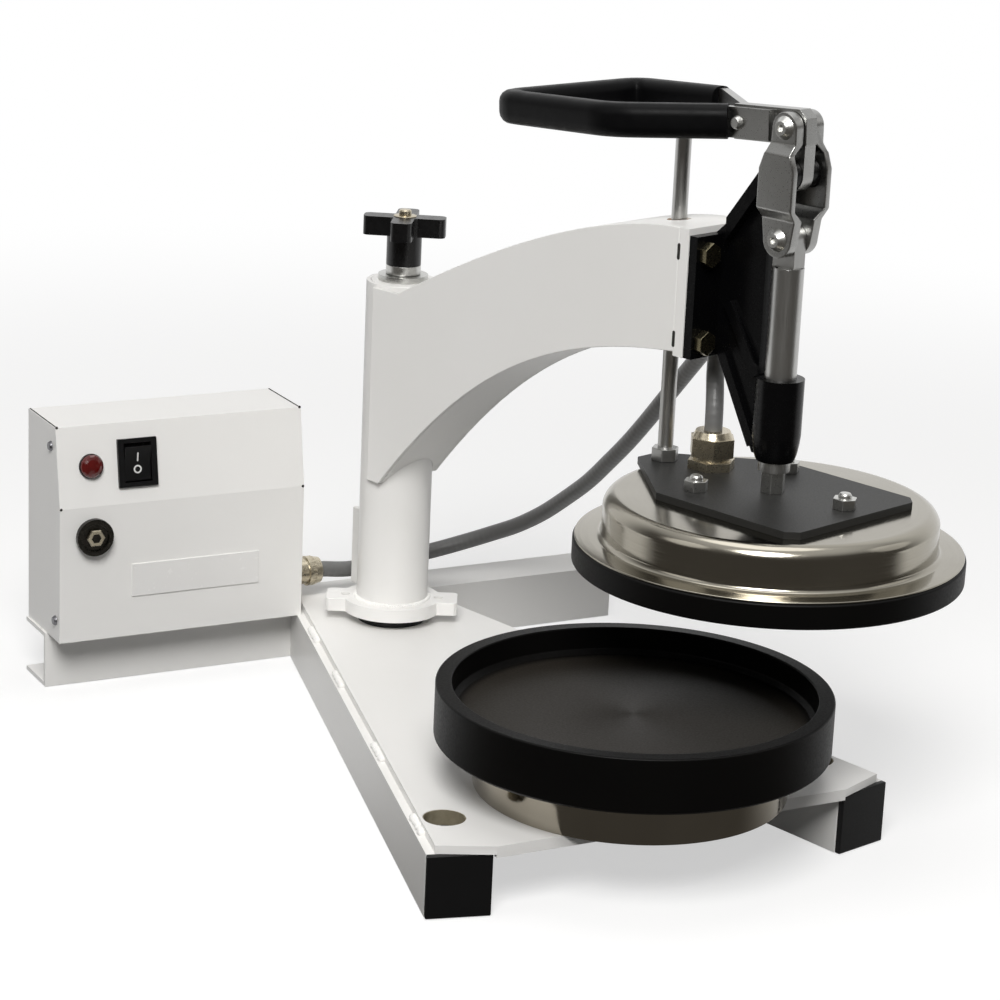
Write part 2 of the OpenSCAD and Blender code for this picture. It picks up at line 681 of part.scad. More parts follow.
module tube_cap() color(white_paint) at_arm() translate([0, 0, tube_top - tube_cap_t]) difference() {
  cylinder(r = tube_r - tube_wall - weld_gap, h = tube_cap_t);
  translate([0, 0, -1]) cylinder(d = stud_d + 1, h = tube_cap_t + 2);
}

module bush(z, h, outer, inner) translate([0, 0, z]) difference() {
  cylinder(r = outer, h = h);
  translate([0, 0, -1]) cylinder(r = inner, h = h + 2);
}
module arm_bushes() color(bronze) at_arm() {
  for (z = [flange_z, tube_top - tube_cap_t - 32])
    bush(z, 30, tube_r - tube_wall - weld_gap, post_r + run_fit);
  for (z = [arm_low_z - 1, arm_top_z - 14]) translate([guide_x, 0, 0])
    bush(z, 11, guide_bush_d / 2, guide_d / 2 + run_fit);
}

module knob_washer() color(bright_steel) at_arm() translate([0, 0, tube_top]) difference() {
  cylinder(d = 33, h = knob_washer_t);
  translate([0, 0, -1]) cylinder(d = stud_d + 1, h = knob_washer_t + 2);
}

module knob_collar() color(bright_steel) at_post() translate([0, 0, knob_z]) difference() {
  cylinder(d = knob_hub_d, h = knob_collar_h);
  translate([0, 0, -1]) cylinder(d = stud_d + 2 * run_fit, h = knob_collar_h + 2);
}

// One arm of the cross, and the corner where it meets the next
knob_arm = knob_span / 2 - 4;
knob_tip = concat(arc(knob_arm, -3, 4, -90, 0, 5), arc(knob_arm, 3, 4, 0, 90, 5), [[7, 7]]);
function turned(p, a) = [for (q = p) [q[0] * cos(a) - q[1] * sin(a), q[0] * sin(a) + q[1] * cos(a)]];

module clamp_knob() color(black_plastic) at_post() translate([0, 0, knob_z + knob_collar_h]) difference() {
  union() {
    cylinder(d = knob_hub_d, h = knob_hub_h + knob_cross_h - 0.5);
    rotate([0, 0, knob_rest]) translate([0, 0, knob_hub_h]) linear_extrude(knob_cross_h) polygon(concat(
      turned(knob_tip, 0), turned(knob_tip, 90), turned(knob_tip, 180), turned(knob_tip, 270)));
  }
  translate([0, 0, -1]) cylinder(d = stud_d + 2 * run_fit, h = knob_hub_h + knob_cross_h - 2);
}

// Arm pieces
low_edge = [for (k = [0:24])
  bez3([11, arm_tip_z], [arm_len * 90 / 264, tube_top - 38], [arm_len * 160 / 264, arm_low_z - 9],
    [arm_len, arm_low_z], k / 24)];
top_edge = [for (k = [0:20])
  bez2([tube_r, tube_top - 2], [arm_len * 0.66, arm_top_z - 2.7], [arm_len, arm_top_z], k / 20)];

module arm_side() polygon(concat([[0, arm_tip_z]], low_edge, flip(top_edge), [[0, tube_top - 2]]));
module near_arm_plate() color(white_paint) at_arm() slab(-arm_out, -arm_in) arm_side();
module far_arm_plate() color(white_paint) at_arm() slab(arm_in, arm_out) arm_side();

module guide_hole(d) translate([guide_x, 0, tube_top - 40]) cylinder(d = d, h = arm_top_z);

module arm_top_strip() color(white_paint) at_arm() difference() {
  slab(-arm_in, arm_in) polygon(concat(top_edge, flip([for (p = top_edge) p - [0, arm_t]])));
  translate([0, 0, tube_top - 60]) cylinder(r = tube_r + weld_gap, h = 100);
  guide_hole(guide_bush_d + 2 * weld_gap);
}

module arm_bottom_strip() color(white_paint) at_arm() difference() {
  slab(-arm_in, arm_in) polygon(concat(flip(low_edge), [for (p = low_edge) p + [0, arm_t + 1]]));
  translate([0, 0, arm_tip_z - 10]) cylinder(r = tube_r + weld_gap, h = tube_top);
  guide_hole(guide_bush_d + 2 * weld_gap);
  translate([arm_len - nut_room, -arm_out, 0]) cube([50, 2 * arm_out, 2 * arm_low_z]);
}

module bolt_spots() for (y = [-bolt_y, bolt_y], z = [bolt_lo, bolt_hi])
  translate([0, y, z]) rotate([0, 90, 0]) children();

module arm_end_plate() color(white_paint) at_arm() difference() {
  translate([arm_len, -arm_out, end_lo]) cube([end_plate_t, 2 * arm_out, arm_top_z - end_lo]);
  bolt_spots() cylinder(d = bracket_bolt_d + 2 * hole_clear, h = 400);
}

// Clamp bracket
fork_line = [
  [reach + 0.01, pivot_b - 9.5], [reach + 0.01, pivot_b + 9.5], [reach - 12, pivot_b + 7.5],
  [reach - 22, pivot_b - 6.5], [reach - 40, pivot_b - 31], [reach - 40, pivot_b - 45],
  [reach - 15, pivot_b - 10]
];
web_line = [
  [end_x + 1, end_hi], [reach - 40, pivot_b - 31], [reach - 22, pivot_b - 6.5], [web_x, pivot_b - 8],
  [web_x, barrel_z + 6], [reach - 10, barrel_z + 5], [reach - 12, barrel_z + 2], [reach - 15, barrel_z + 2],
  [face_x + 6, end_lo + 1], [end_x + 1, end_lo]
];
function thick_line(a, b, t) = let (n = side_of(unit(b - a)) * t / 2) [a + n, b + n, b - n, a - n];

barrel_foot = [for (k = [0:7]) bez2(
  [barrel_foot_d / 2 - 0.5, 0], [barrel_foot_d / 2 + 1.9, 3.2], [barrel_d / 2, barrel_taper], k / 7)];

module clamp_bracket() color(black_paint) at_arm() difference() {
  union() {
    translate([end_x, -bracket_half, end_lo]) cube([bracket_t, 2 * bracket_half, end_hi - end_lo]);
    slab(-web_half, web_half) polygon(web_line);
    difference() {
      slab(-fork_out, fork_out) {
        polygon(fork_line);
        translate([reach, pivot_b]) circle(r = 9.5);
      }
      translate([reach - 13, -fork_in, pivot_b - 60]) cube([60, 2 * fork_in, 120]);
    }
    slab(-7, 7) {
      polygon(thick_line([face_x + 9, end_lo + 34], [reach - 13.8, barrel_top - 1], 6));
      polygon(thick_line([face_x + 7, end_lo + 3], [reach - 13.5, barrel_z + 7], 6));
    }
    translate([reach, 0, barrel_z]) rotate_extrude() polygon(concat(
      [[0, 0]], barrel_foot, [[barrel_d / 2, barrel_h], [0, barrel_h]]));
  }
  translate([reach, 0, barrel_z - 1]) cylinder(r = plunger_r + run_fit, h = barrel_h + 2);
  translate([reach, 0, pivot_b]) cross_rod(pin_d / 2 + weld_gap, -30, 30);
  bolt_spots() cylinder(d = bracket_bolt_d + 2 * hole_clear, h = face_x + 4);
}

module bracket_bolts() color(yellow_zinc) at_arm() bolt_spots() {
  translate([0, 0, face_x]) hexagon(bracket_bolt_d + 5, 5.3);
  translate([0, 0, arm_len - 10]) cylinder(d = bracket_bolt_d, h = face_x - arm_len + 12);
  translate([0, 0, arm_len - 6.5]) hexagon(bracket_bolt_d + 5, 6.5);
}

module handle_pin() color(bright_steel) at_platen() translate([0, 0, pivot_b])
  cross_rod(pin_d / 2, -fork_out - 1, fork_out + 1);

// Handle pieces
module handle_plate() color(bright_steel) difference() {
  union() {
    at_platen() slab(-lever_t / 2, lever_t / 2) {
      translate([0, pivot_b]) circle(r = 10);
      translate([-10, pivot_b]) square([20, pivot_a - pivot_b]);
    }
    at_handle() slab(-lever_t / 2, lever_t / 2) polygon([
      [-44.5, -grip_h / 2], [10, -grip_h / 2], [10, grip_h / 2 - 5], [5, grip_h / 2], [-44.5, grip_h / 2]]);
  }
  at_platen() for (z = [pivot_b, pivot_a]) translate([0, 0, z]) cross_rod(pin_d / 2 + run_fit, -20, 20);
  at_handle() translate([handle_screw_x, 0, 0]) cross_rod(handle_screw_d / 2 + hole_clear, -20, 20);
}

core_route = concat(
  [loop_route[0]], corner(loop_route, 1, 4), corner(loop_route, 2, 14), corner(loop_route, 3, 14),
  corner(loop_route, 4, 14), corner(loop_route, 5, 6), corner(loop_route, 6, 3), [loop_route[7]]);
grip_start = loop_route[1] + unit(loop_route[2] - loop_route[1]) * 0.5;
grip_end = loop_route[5] + unit(loop_route[4] - loop_route[5]) * 3;
grip_route = concat(
  [grip_start], corner(loop_route, 2, 14), corner(loop_route, 3, 14), corner(loop_route, 4, 14), [grip_end]);
grip_round = 7;
grip_section = concat(
  arc(grip_w / 2 - grip_round, grip_h / 2 - grip_round, grip_round, 0, 90, 4),
  arc(-grip_w / 2 + grip_round, grip_h / 2 - grip_round, grip_round, 90, 180, 4),
  arc(-grip_w / 2 + grip_round, -grip_h / 2 + grip_round, grip_round, 180, 270, 4),
  arc(grip_w / 2 - grip_round, -grip_h / 2 + grip_round, grip_round, 270, 360, 4));

module handle_core() color(bright_steel) at_handle() difference() {
  translate([0, 0, -core_h / 2]) linear_extrude(core_h) polygon(ribbon(core_route, -core_t / 2, core_t / 2));
  translate([handle_screw_x, 0, 0]) cross_rod(handle_screw_d / 2 + hole_clear, -20, 20);
}

module handle_grip() color(black_plastic) at_handle() difference() {
  skin([for (i = [0:len(grip_route) - 1]) flat_ring(grip_route, i, grip_section)]);
  translate([0, 0, -core_h / 2 - grip_fit]) linear_extrude(core_h + 2 * grip_fit)
    polygon(ribbon(core_route, -core_t / 2 - grip_fit, core_t / 2 + grip_fit));
}

module handle_screws() color(bright_steel) at_handle() translate([handle_screw_x, 0, 0]) {
  out = lever_t / 2 + core_t;
  cross_rod(handle_screw_d / 2, -out - 1, out + 1);
  for (s = [0, 180]) rotate([0, 0, s]) translate([0, -out, 0]) rotate([90, 0, 0])
    cylinder(r1 = 4.4, r2 = 3, h = 3);
}

// Link pieces
link_face = [
  [fork_in, pivot_c - 14], [fork_in, pivot_c + 12], [bulge_in, pivot_c + 18], [bulge_in, pivot_a - 15],
  [fork_in, pivot_a - 9], [fork_in, pivot_a + 14], [link_out, pivot_a + 14], [link_out, pivot_a - 9],
  [bulge_out, pivot_a - 15], [bulge_out, pivot_c + 18], [link_out, pivot_c + 12], [link_out, pivot_c - 14]
];
module link_outline() polygon(concat(
  arc(0, pivot_a, 9, 0, 180, 16), [[-9.4, pivot_a - 14], [-13, pivot_a - 24], [-13, pivot_c + 17]],
  arc(0, pivot_c, 10.5, 180, 360, 16), [[13, pivot_c + 17], [13, pivot_a - 24], [9.4, pivot_a - 14]]));
module link_cheek() difference() {
  intersection() {
    rotate([90, 0, 90]) translate([0, 0, -20]) linear_extrude(40) polygon(link_face);
    slab(0, bulge_out + 1) link_outline();
  }
  for (z = [pivot_a, pivot_c]) translate([0, 0, z]) cross_rod(pin_d / 2 + weld_gap, -1, bulge_out + 5);
}
module far_link() color(bright_steel) at_platen() link_cheek();
module near_link() color(bright_steel) at_platen() mirror([0, 1, 0]) link_cheek();

module button_head() rotate([90, 0, 0]) difference() {
  cylinder(r1 = 7, r2 = 4, h = 3.5);
  translate([0, 0, 1.5]) cylinder(d = 4.6, h = 4, $fn = 6);
}
module link_screws() color(bright_steel) at_platen() {
  translate([0, 0, pivot_a]) cross_rod(pin_d / 2, -link_out - 1, link_out + 1);
  for (s = [0, 180]) rotate([0, 0, s]) {
    translate([0, -link_out, pivot_a]) button_head();
    translate([0, -link_out, pivot_c]) button_head();
    translate([0, 0, pivot_c]) cross_rod(pin_d / 2, -link_out - 1, -fork_in - 0.2);
  }
}

// Plunger and platen pieces
module plunger() color(bright_steel) at_platen() difference() {
  union() {
    translate([0, 0, plunger_z]) cylinder(r = plunger_r, h = plunger_len - tongue_len);
    slab(-tongue_half, tongue_half) {
      translate([-tongue_r, pivot_c - tongue_len - 2]) square([2 * tongue_r, tongue_len + 2]);
      translate([0, pivot_c]) circle(r = tongue_r);
    }
  }
  translate([0, 0, plunger_z - 1]) cylinder(d = hex_stud_d + 2 * hole_clear, h = 24);
  translate([0, 0, pivot_c]) cross_rod(pin_d / 2 + hole_clear, -20, 20);
}

module adjusting_bolt() color(bright_steel) at_platen() {
  translate([0, 0, mount_top]) hexagon(13, hex_h);
  translate([0, 0, cover_top - 12]) cylinder(d = hex_stud_d, h = mount_t + hex_h + 12 + 20);
  translate([0, 0, cover_top - cover_sheet - 6.5]) hexagon(13, 6.5);
}

module platen_spots() for (p = stud_spots) translate([p[0], p[1], 0]) children();

module mounting_plate() color(black_paint) at_platen() difference() {
  tail = guide_back + 14;
  half = [[-tail, 9], [-40, mount_half], [mount_half, mount_half], [mount_half + 7, mount_half - 7]];
  translate([0, 0, cover_top]) linear_extrude(mount_t)
    polygon(concat(half, flip([for (p = half) [p[0], -p[1]]])));
  translate([0, 0, cover_top - 1]) {
    cylinder(d = hex_stud_d + 2 * hole_clear, h = mount_t + 2);
    platen_spots() cylinder(d = platen_stud_d + 2 * hole_clear, h = mount_t + 2);
    translate([-guide_back, 0, 0]) cylinder(d = guide_d + 2 * weld_gap, h = mount_t + 2);
    translate([conduit_joint_at[0] - reach, conduit_joint_at[1], 0]) cylinder(d = cable_hole_d, h = mount_t + 2);
  }
}

module platen_studs() color(bright_steel) at_platen() platen_spots() {
  translate([0, 0, die_top - 7]) cylinder(d = platen_stud_d, h = cover_h + mount_t + 15);
  translate([0, 0, mount_top]) hexagon(platen_stud_d + 5, 6.5);
  translate([0, 0, mount_top + 8]) cylinder(d1 = platen_stud_d, d2 = platen_stud_d - 2, h = 1.5);
}

module platen_cover() color(stainless) at_platen() difference() {
  r = cover_d / 2;
  q = r - cover_sheet;
  rotate_extrude($fn = 160) translate([0, die_top]) polygon(concat(
    [[q, 0], [die_d / 2 - 1, 0], [die_d / 2 - 1, cover_sheet], [r, cover_sheet]],
    arc(r - shoulder_r, cover_h - shoulder_r, shoulder_r, 0, 90, 8),
    [[0, cover_h], [0, cover_h - cover_sheet]],
    arc(r - shoulder_r, cover_h - shoulder_r, shoulder_r - cover_sheet, 90, 0, 8)));
  translate([0, 0, cover_top - 5]) {
    cylinder(d = hex_stud_d + 2 * hole_clear, h = 10);
    platen_spots() cylinder(d = platen_stud_d + 2 * hole_clear, h = 10);
    translate([conduit_joint_at[0] - reach, conduit_joint_at[1], 0]) cylinder(d = cable_hole_d, h = 10);
  }
}

module heater_ring() color(dark_steel) at_platen() translate([0, 0, die_top]) {
  rotate_extrude() translate([70, 4.05]) circle(r = 4, $fn = 24);
  difference() {
    translate([0, 0, 6]) cylinder(r = 76, h = 4);
    platen_spots() translate([0, 0, 5]) cylinder(d = platen_stud_d + 2 * hole_clear, h = 6);
  }
}

module upper_die() color(black_coat) at_platen() difference() {
  rotate_extrude($fn = 160) translate([0, die_z]) polygon([
    [0, 0], [die_plug_r - 1.2, 0], [die_plug_r, 1.2], [die_plug_r, die_plug_t], [die_d / 2 - 1, die_plug_t],
    [die_d / 2, die_plug_t + 1], [die_d / 2, die_plug_t + die_rim_t - 1],
    [die_d / 2 - 1, die_plug_t + die_rim_t], [0, die_plug_t + die_rim_t]]);
  platen_spots() translate([0, 0, die_top - 8]) cylinder(d = platen_stud_d + 2 * hole_clear, h = 10);
}

module guide_rod() color(bright_steel) at_platen() translate([-guide_back, 0, 0]) {
  translate([0, 0, cover_top + 0.2]) cylinder(d = guide_d, h = guide_top - cover_top - 1.2);
  translate([0, 0, guide_top - 1]) cylinder(d1 = guide_d, d2 = guide_d - 2, h = 1);
  translate([0, 0, mount_top]) hexagon(15, 8);
}

// Connector and conduit
module platen_connector() color(bright_steel) at_arm()
  translate([conduit_joint_at[0], conduit_joint_at[1], mount_top]) {
    high = conduit_joint_at[2] - mount_top;
    difference() {
      union() {
        translate([0, 0, -mount_t]) cylinder(d = cable_hole_d - 2 * hole_clear, h = mount_t + 1);
        hexagon(26, 5.5);
        translate([0, 0, 5]) cylinder(d = 23, h = 4);
        translate([0, 0, 8]) rotate([0, 0, 15]) hexagon(25.4, high - 12);
        translate([0, 0, high - 4.5]) cylinder(d1 = 25, d2 = 21, h = 4.5);
      }
      translate([0, 0, -mount_t - 1]) cylinder(d = conduit_d - 3, h = mount_t + high + 2);
    }
  }
conduit_start = [gland_end + 2 * weld_gap, gland_y, gland_z];
conduit_route = concat(
  [conduit_start, conduit_start + [4, 0, 0]], lower_route, [for (p = flip(upper_route)) arm_point(p)]);
conduit_split = len(lower_route) + 2;
function conduit_ring(i, shift) =
  [for (q = ring(conduit_route, i, conduit_d / 2, 12)) q + dir_at(conduit_route, i) * shift];
module conduit_lower() color(grey_plastic) at_post()
  skin(concat([for (i = [0:conduit_split - 1]) conduit_ring(i, 0)], [conduit_ring(conduit_split, -weld_gap)]));
module conduit_upper() color(grey_plastic) at_post()
  skin(concat([conduit_ring(conduit_split, weld_gap)],
    [for (i = [conduit_split + 1:len(conduit_route) - 1]) conduit_ring(i, 0)]));

base_plate();
left_leg();
right_leg();
leg_end_caps();
rear_channel();
pivot_post();
thrust_washer();
pedestal_drum();
lower_mould();
mould_spacer();
mould_bolt();
box_chassis();
box_cover();
box_left_side();
box_right_side();
box_fasteners();
rocker_frame();
rocker_paddle();
lamp_bezel();
lamp_lens();
fuse_body();
fuse_cap();
badge_plate();
conduit_gland();
gland_nut();
terminal_block();
column_tube();
foot_flange();
rear_gusset();
tube_cap();
arm_bushes();
near_arm_plate();
far_arm_plate();
arm_top_strip();
arm_bottom_strip();
arm_end_plate();
clamp_bracket();
bracket_bolts();
handle_pin();
knob_washer();
knob_collar();
clamp_knob();
handle_plate();
handle_core();
handle_grip();
handle_screws();
near_link();
far_link();
link_screws();
plunger();
adjusting_bolt();
mounting_plate();
platen_studs();
platen_cover();
heater_ring();
upper_die();
guide_rod();
platen_connector();
conduit_lower();
conduit_upper();
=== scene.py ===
import json
import math

import bmesh
import bpy
from mathutils import Matrix, Vector


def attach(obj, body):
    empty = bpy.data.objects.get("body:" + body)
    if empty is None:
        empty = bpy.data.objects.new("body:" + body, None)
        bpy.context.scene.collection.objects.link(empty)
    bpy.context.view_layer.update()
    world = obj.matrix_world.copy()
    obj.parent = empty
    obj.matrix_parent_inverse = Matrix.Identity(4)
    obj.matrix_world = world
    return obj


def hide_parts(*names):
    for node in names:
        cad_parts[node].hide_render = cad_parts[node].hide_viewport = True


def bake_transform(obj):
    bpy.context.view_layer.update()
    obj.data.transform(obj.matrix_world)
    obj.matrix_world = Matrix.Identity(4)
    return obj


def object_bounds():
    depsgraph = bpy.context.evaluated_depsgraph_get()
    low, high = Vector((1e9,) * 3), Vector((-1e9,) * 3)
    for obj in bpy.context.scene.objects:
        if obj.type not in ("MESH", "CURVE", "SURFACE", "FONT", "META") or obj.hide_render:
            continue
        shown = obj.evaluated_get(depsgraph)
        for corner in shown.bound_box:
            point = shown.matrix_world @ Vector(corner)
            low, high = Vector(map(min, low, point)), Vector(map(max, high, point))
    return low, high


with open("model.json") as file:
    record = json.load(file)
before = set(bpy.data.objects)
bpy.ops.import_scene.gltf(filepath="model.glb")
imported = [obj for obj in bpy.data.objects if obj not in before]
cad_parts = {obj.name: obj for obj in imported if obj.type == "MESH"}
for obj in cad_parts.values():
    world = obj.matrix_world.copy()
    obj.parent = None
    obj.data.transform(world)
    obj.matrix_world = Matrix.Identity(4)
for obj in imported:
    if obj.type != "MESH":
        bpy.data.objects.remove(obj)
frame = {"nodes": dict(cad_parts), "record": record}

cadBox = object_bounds()
scene = bpy.context.scene
mm = 0.001
slotOf = {part["node"]: part["material_slot"] for part in frame["record"]["subparts"]}
bodyOf = {node: body for body, nodes in frame["record"]["behaviour"]["bodies"].items() for node in nodes}

# Arm coordinates: x outward along the arm, y to its far side, z up, in millimetres
columnY, armTurn, armReach, mouldY = 331.5, -73, 325.5, 6
armPlace = Matrix.Translation((0, columnY * mm, 0)) @ Matrix.Rotation(math.radians(armTurn), 4, "Z")
platenCentre = armPlace @ Vector((armReach * mm, 0, 0))
mouldCentre = Vector((0, mouldY * mm, 0))


def armPoint(x, y, z):
    return armPlace @ Vector((x * mm, y * mm, z * mm))


def postPoint(x, y, z):
    return Vector((x * mm, (y + columnY) * mm, z * mm))


# Camera fitted to the photograph: lens and sensor in millimetres, its place in metres, angles in radians
photoCamera = {"lens": 108.452, "sensor": 36.0, "place": (-0.859061, -1.414674, 0.698828),
               "turn": 0.49338358, "dip": 0.28472698, "roll": -0.0450313}


def makeCamera(view):
    turn, dip, roll = view["turn"], view["dip"], view["roll"]
    ahead = Vector((math.sin(turn) * math.cos(dip), math.cos(turn) * math.cos(dip), -math.sin(dip)))
    right = Vector((math.cos(turn), -math.sin(turn), 0))
    down = ahead.cross(right)
    across = right * math.cos(roll) + down * math.sin(roll)
    below = down * math.cos(roll) - right * math.sin(roll)
    data = bpy.data.cameras.new("photoCamera")
    data.lens = view["lens"]
    data.sensor_width = view["sensor"]
    data.sensor_fit = "HORIZONTAL"
    camera = bpy.data.objects.new("photoCamera", data)
    scene.collection.objects.link(camera)
    place = Matrix((across, -below, -ahead)).transposed().to_4x4()
    place.translation = Vector(view["place"])
    camera.matrix_world = place
    scene.camera = camera


makeCamera(photoCamera)
print("camera placed")


# Node and mesh helpers
def addNode(tree, kind, inputs=None, **settings):
    node = tree.nodes.new(kind)
    for key, value in settings.items():
        setattr(node, key, value)
    for key, value in (inputs or {}).items():
        if isinstance(value, bpy.types.NodeSocket):
            tree.links.new(value, node.inputs[key])
        else:
            node.inputs[key].default_value = value
    return node


def addPiece(name, mesh):
    piece = bpy.data.objects.new(name, mesh)
    scene.collection.objects.link(piece)
    return piece


def smoothShade(mesh, angle):
    mesh.polygons.foreach_set("use_smooth", [True] * len(mesh.polygons))
    mesh.set_sharp_from_angle(angle=math.radians(angle))


def linear(code):
    parts = [int(code[i:i + 2], 16) / 255 for i in (1, 3, 5)]
    return tuple(c / 12.92 if c <= 0.04045 else ((c + 0.055) / 1.055) ** 2.4 for c in parts) + (1.0,)


# Material helpers: sizes in millimetres, constants set on the shader itself
coatRoughness = 0.08
noiseDetail = {"broad": 4.0, "fine": 3.0, "patches": 3.0, "rings": 5.0}


def startMaterial(name, metallic=0.0, roughness=0.5, coat=0.0, specular=0.5):
    material = bpy.data.materials.new(name)
    material.use_nodes = True
    tree = material.node_tree
    tree.nodes.clear()
    shader = addNode(tree, "ShaderNodeBsdfPrincipled", {
        "Metallic": metallic, "Roughness": roughness, "Coat Weight": coat, "Coat Roughness": coatRoughness,
        "Specular IOR Level": specular})
    output = addNode(tree, "ShaderNodeOutputMaterial")
    tree.links.new(shader.outputs[0], output.inputs["Surface"])
    coords = addNode(tree, "ShaderNodeTexCoord").outputs["Object"]
    return material, tree, shader, coords


# Noise scale whose features are about this many millimetres
def perMetre(size):
    return 1000.0 / size


def noise(tree, coords, size, detail):
    made = addNode(tree, "ShaderNodeTexNoise", {"Vector": coords, "Scale": perMetre(size), "Detail": detail})
    return made.outputs["Fac"]


def fade(tree, value, span, ends=(0.0, 1.0), kind="SMOOTHSTEP"):
    made = addNode(tree, "ShaderNodeMapRange", {"Value": value, "From Min": span[0], "From Max": span[1],
                                                "To Min": ends[0], "To Max": ends[1]}, interpolation_type=kind)
    return made.outputs[0]


def mixColours(tree, factor, first, second):
    return addNode(tree, "ShaderNodeMix", {"Factor": factor, 6: first, 7: second}, data_type="RGBA").outputs[2]


def setColours(tree, shader, factor, colours):
    tint = mixColours(tree, factor, linear(colours[0]), linear(colours[1]))
    tree.links.new(tint, shader.inputs["Base Color"])
    return tint


# The middle of a noise pattern spread over a range of roughness
patternSpan = (0.3, 0.7)


def setRoughness(tree, shader, pattern, roughs):
    tree.links.new(fade(tree, pattern, patternSpan, roughs, "LINEAR"), shader.inputs["Roughness"])


def setBump(tree, shader, pattern, height):
    bump = addNode(tree, "ShaderNodeBump", {"Height": pattern, "Distance": height * mm})
    tree.links.new(bump.outputs[0], shader.inputs["Normal"])


# Surface mix: two colours by a broad noise, roughness and bump by a fine one
def mottle(tree, shader, coords, colours, patch, roughs, grain, height, stretch=(1, 1, 1)):
    tint = setColours(tree, shader, noise(tree, coords, patch, noiseDetail["broad"]), colours)
    drawn = addNode(tree, "ShaderNodeMapping", {"Vector": coords, "Scale": stretch}).outputs[0]
    fine = noise(tree, drawn, grain, noiseDetail["fine"])
    setRoughness(tree, shader, fine, roughs)
    setBump(tree, shader, fine, height)
    return tint


def simpleMaterial(name, colours, patch, roughs, grain, height, metallic=0.0, coat=0.0, specular=0.5,
                   stretch=(1, 1, 1)):
    material, tree, shader, coords = startMaterial(name, metallic, roughs[0], coat, specular)
    mottle(tree, shader, coords, colours, patch, roughs, grain, height, stretch)
    return material


# Polyester powder coat: clean white, half gloss, the slight orange peel of sprayed powder
whitePowderCoat = simpleMaterial("whitePowderCoat", ("#F3F2F0", "#EEEDEA"), patch=90, roughs=(0.32, 0.40),
                                 grain=2.2, height=0.012)
# Black stove enamel on the cast clamp: deep black with a low gloss, the casting's skin just showing
blackEnamel = simpleMaterial("blackEnamel", ("#050506", "#080809"), patch=30, roughs=(0.2, 0.3), grain=2.6,
                             height=0.03, specular=0.16)
# Black powder coat on the mounting plate: dark grey to the eye, satin, a fine sandy grain
blackPowderCoat = simpleMaterial("blackPowderCoat", ("#1E1E1D", "#262625"), patch=30, roughs=(0.44, 0.54),
                                 grain=0.9, height=0.03, specular=0.3)
# Centreless ground bar: grey, drawn along its length, with fine streaks that blur what it mirrors
groundSteel = simpleMaterial("groundSteel", ("#C2C2C0", "#ACACAA"), patch=40, roughs=(0.3, 0.4), grain=0.9,
                             height=0.0015, metallic=1.0, stretch=(3.0, 3.0, 0.05))
# Zinc plated forged links: mid grey, satin, a soft fine grain
castZincSteel = simpleMaterial("castZincSteel", ("#AEAEAC", "#9A9A98"), patch=30, roughs=(0.26, 0.34), grain=0.8,
                               height=0.002, metallic=1.0)
# Nickel plated machined brass: warm silver with soft turning marks
nickelPlate = simpleMaterial("nickelPlate", ("#D2C9B4", "#B6AC96"), patch=14, roughs=(0.24, 0.36), grain=1.1,
                             height=0.006, metallic=1.0)
# Bright zinc plate on screws, nuts and washers: pale, with soft highlights
brightZinc = simpleMaterial("brightZinc", ("#CECECB", "#B8B8B5"), patch=14, roughs=(0.26, 0.36), grain=0.9,
                            height=0.004, metallic=1.0)
# Yellow passivated zinc on the bracket bolts: dull gold with greenish patches
yellowZinc = simpleMaterial("yellowZinc", ("#A8A084", "#857D61"), patch=4, roughs=(0.22, 0.34), grain=0.9,
                            height=0.008, metallic=1.0)
# Plain turned steel on small screws and the parts out of sight: dark grey with a dull shine
turnedSteel = simpleMaterial("turnedSteel", ("#77777A", "#636366"), patch=12, roughs=(0.3, 0.45), grain=1.0,
                             height=0.01, metallic=1.0)
# Mill steel at the access holes: bare, greyish brown, a little oiled
millSteel = simpleMaterial("millSteel", ("#A69E88", "#776F5B"), patch=5, roughs=(0.4, 0.6), grain=1.5, height=0.02,
                           metallic=0.3)
# Sintered bronze bushes: brown, dull and fine grained
sinteredBronze = simpleMaterial("sinteredBronze", ("#9A7848", "#86673B"), patch=6, roughs=(0.35, 0.5), grain=0.8,
                                height=0.01, metallic=1.0)
# Moulded ABS caps: deep black, fine spark-eroded texture
mouldedAbs = simpleMaterial("mouldedAbs", ("#0A0A0B", "#0F0F10"), patch=25, roughs=(0.42, 0.55), grain=0.8,
                            height=0.02, specular=0.3)
# Phenolic knob: black, polished in the mould
phenolic = simpleMaterial("phenolic", ("#070708", "#0B0B0C"), patch=40, roughs=(0.26, 0.34), grain=3.5,
                          height=0.006, specular=0.4)
# Dipped vinyl grip: black, soft sheen, slightly uneven skin
dippedVinyl = simpleMaterial("dippedVinyl", ("#060607", "#0A0A0B"), patch=26, roughs=(0.36, 0.46), grain=7.0,
                             height=0.04, specular=0.09)
# Switch moulding: black polycarbonate, satin
switchBlack = simpleMaterial("switchBlack", ("#0B0B0C", "#111112"), patch=12, roughs=(0.32, 0.44), grain=0.7,
                             height=0.01, specular=0.3)
# White pad print on the switch: flat and chalky
whiteInk = simpleMaterial("whiteInk", ("#E4E4E2", "#D8D8D6"), patch=2, roughs=(0.5, 0.6), grain=0.4, height=0.004)
# Black chromed cap: very dark metal, worn a little brighter in patches
blackChrome = simpleMaterial("blackChrome", ("#45423D", "#1C1B19"), patch=3, roughs=(0.2, 0.34), grain=0.7,
                             height=0.02, metallic=1.0)
# Polyester film over the raised plate: smooth, a little cooler than the paint
labelFilm = simpleMaterial("labelFilm", ("#F0EFED", "#EAE9E7"), patch=40, roughs=(0.2, 0.28), grain=4.0,
                           height=0.004)
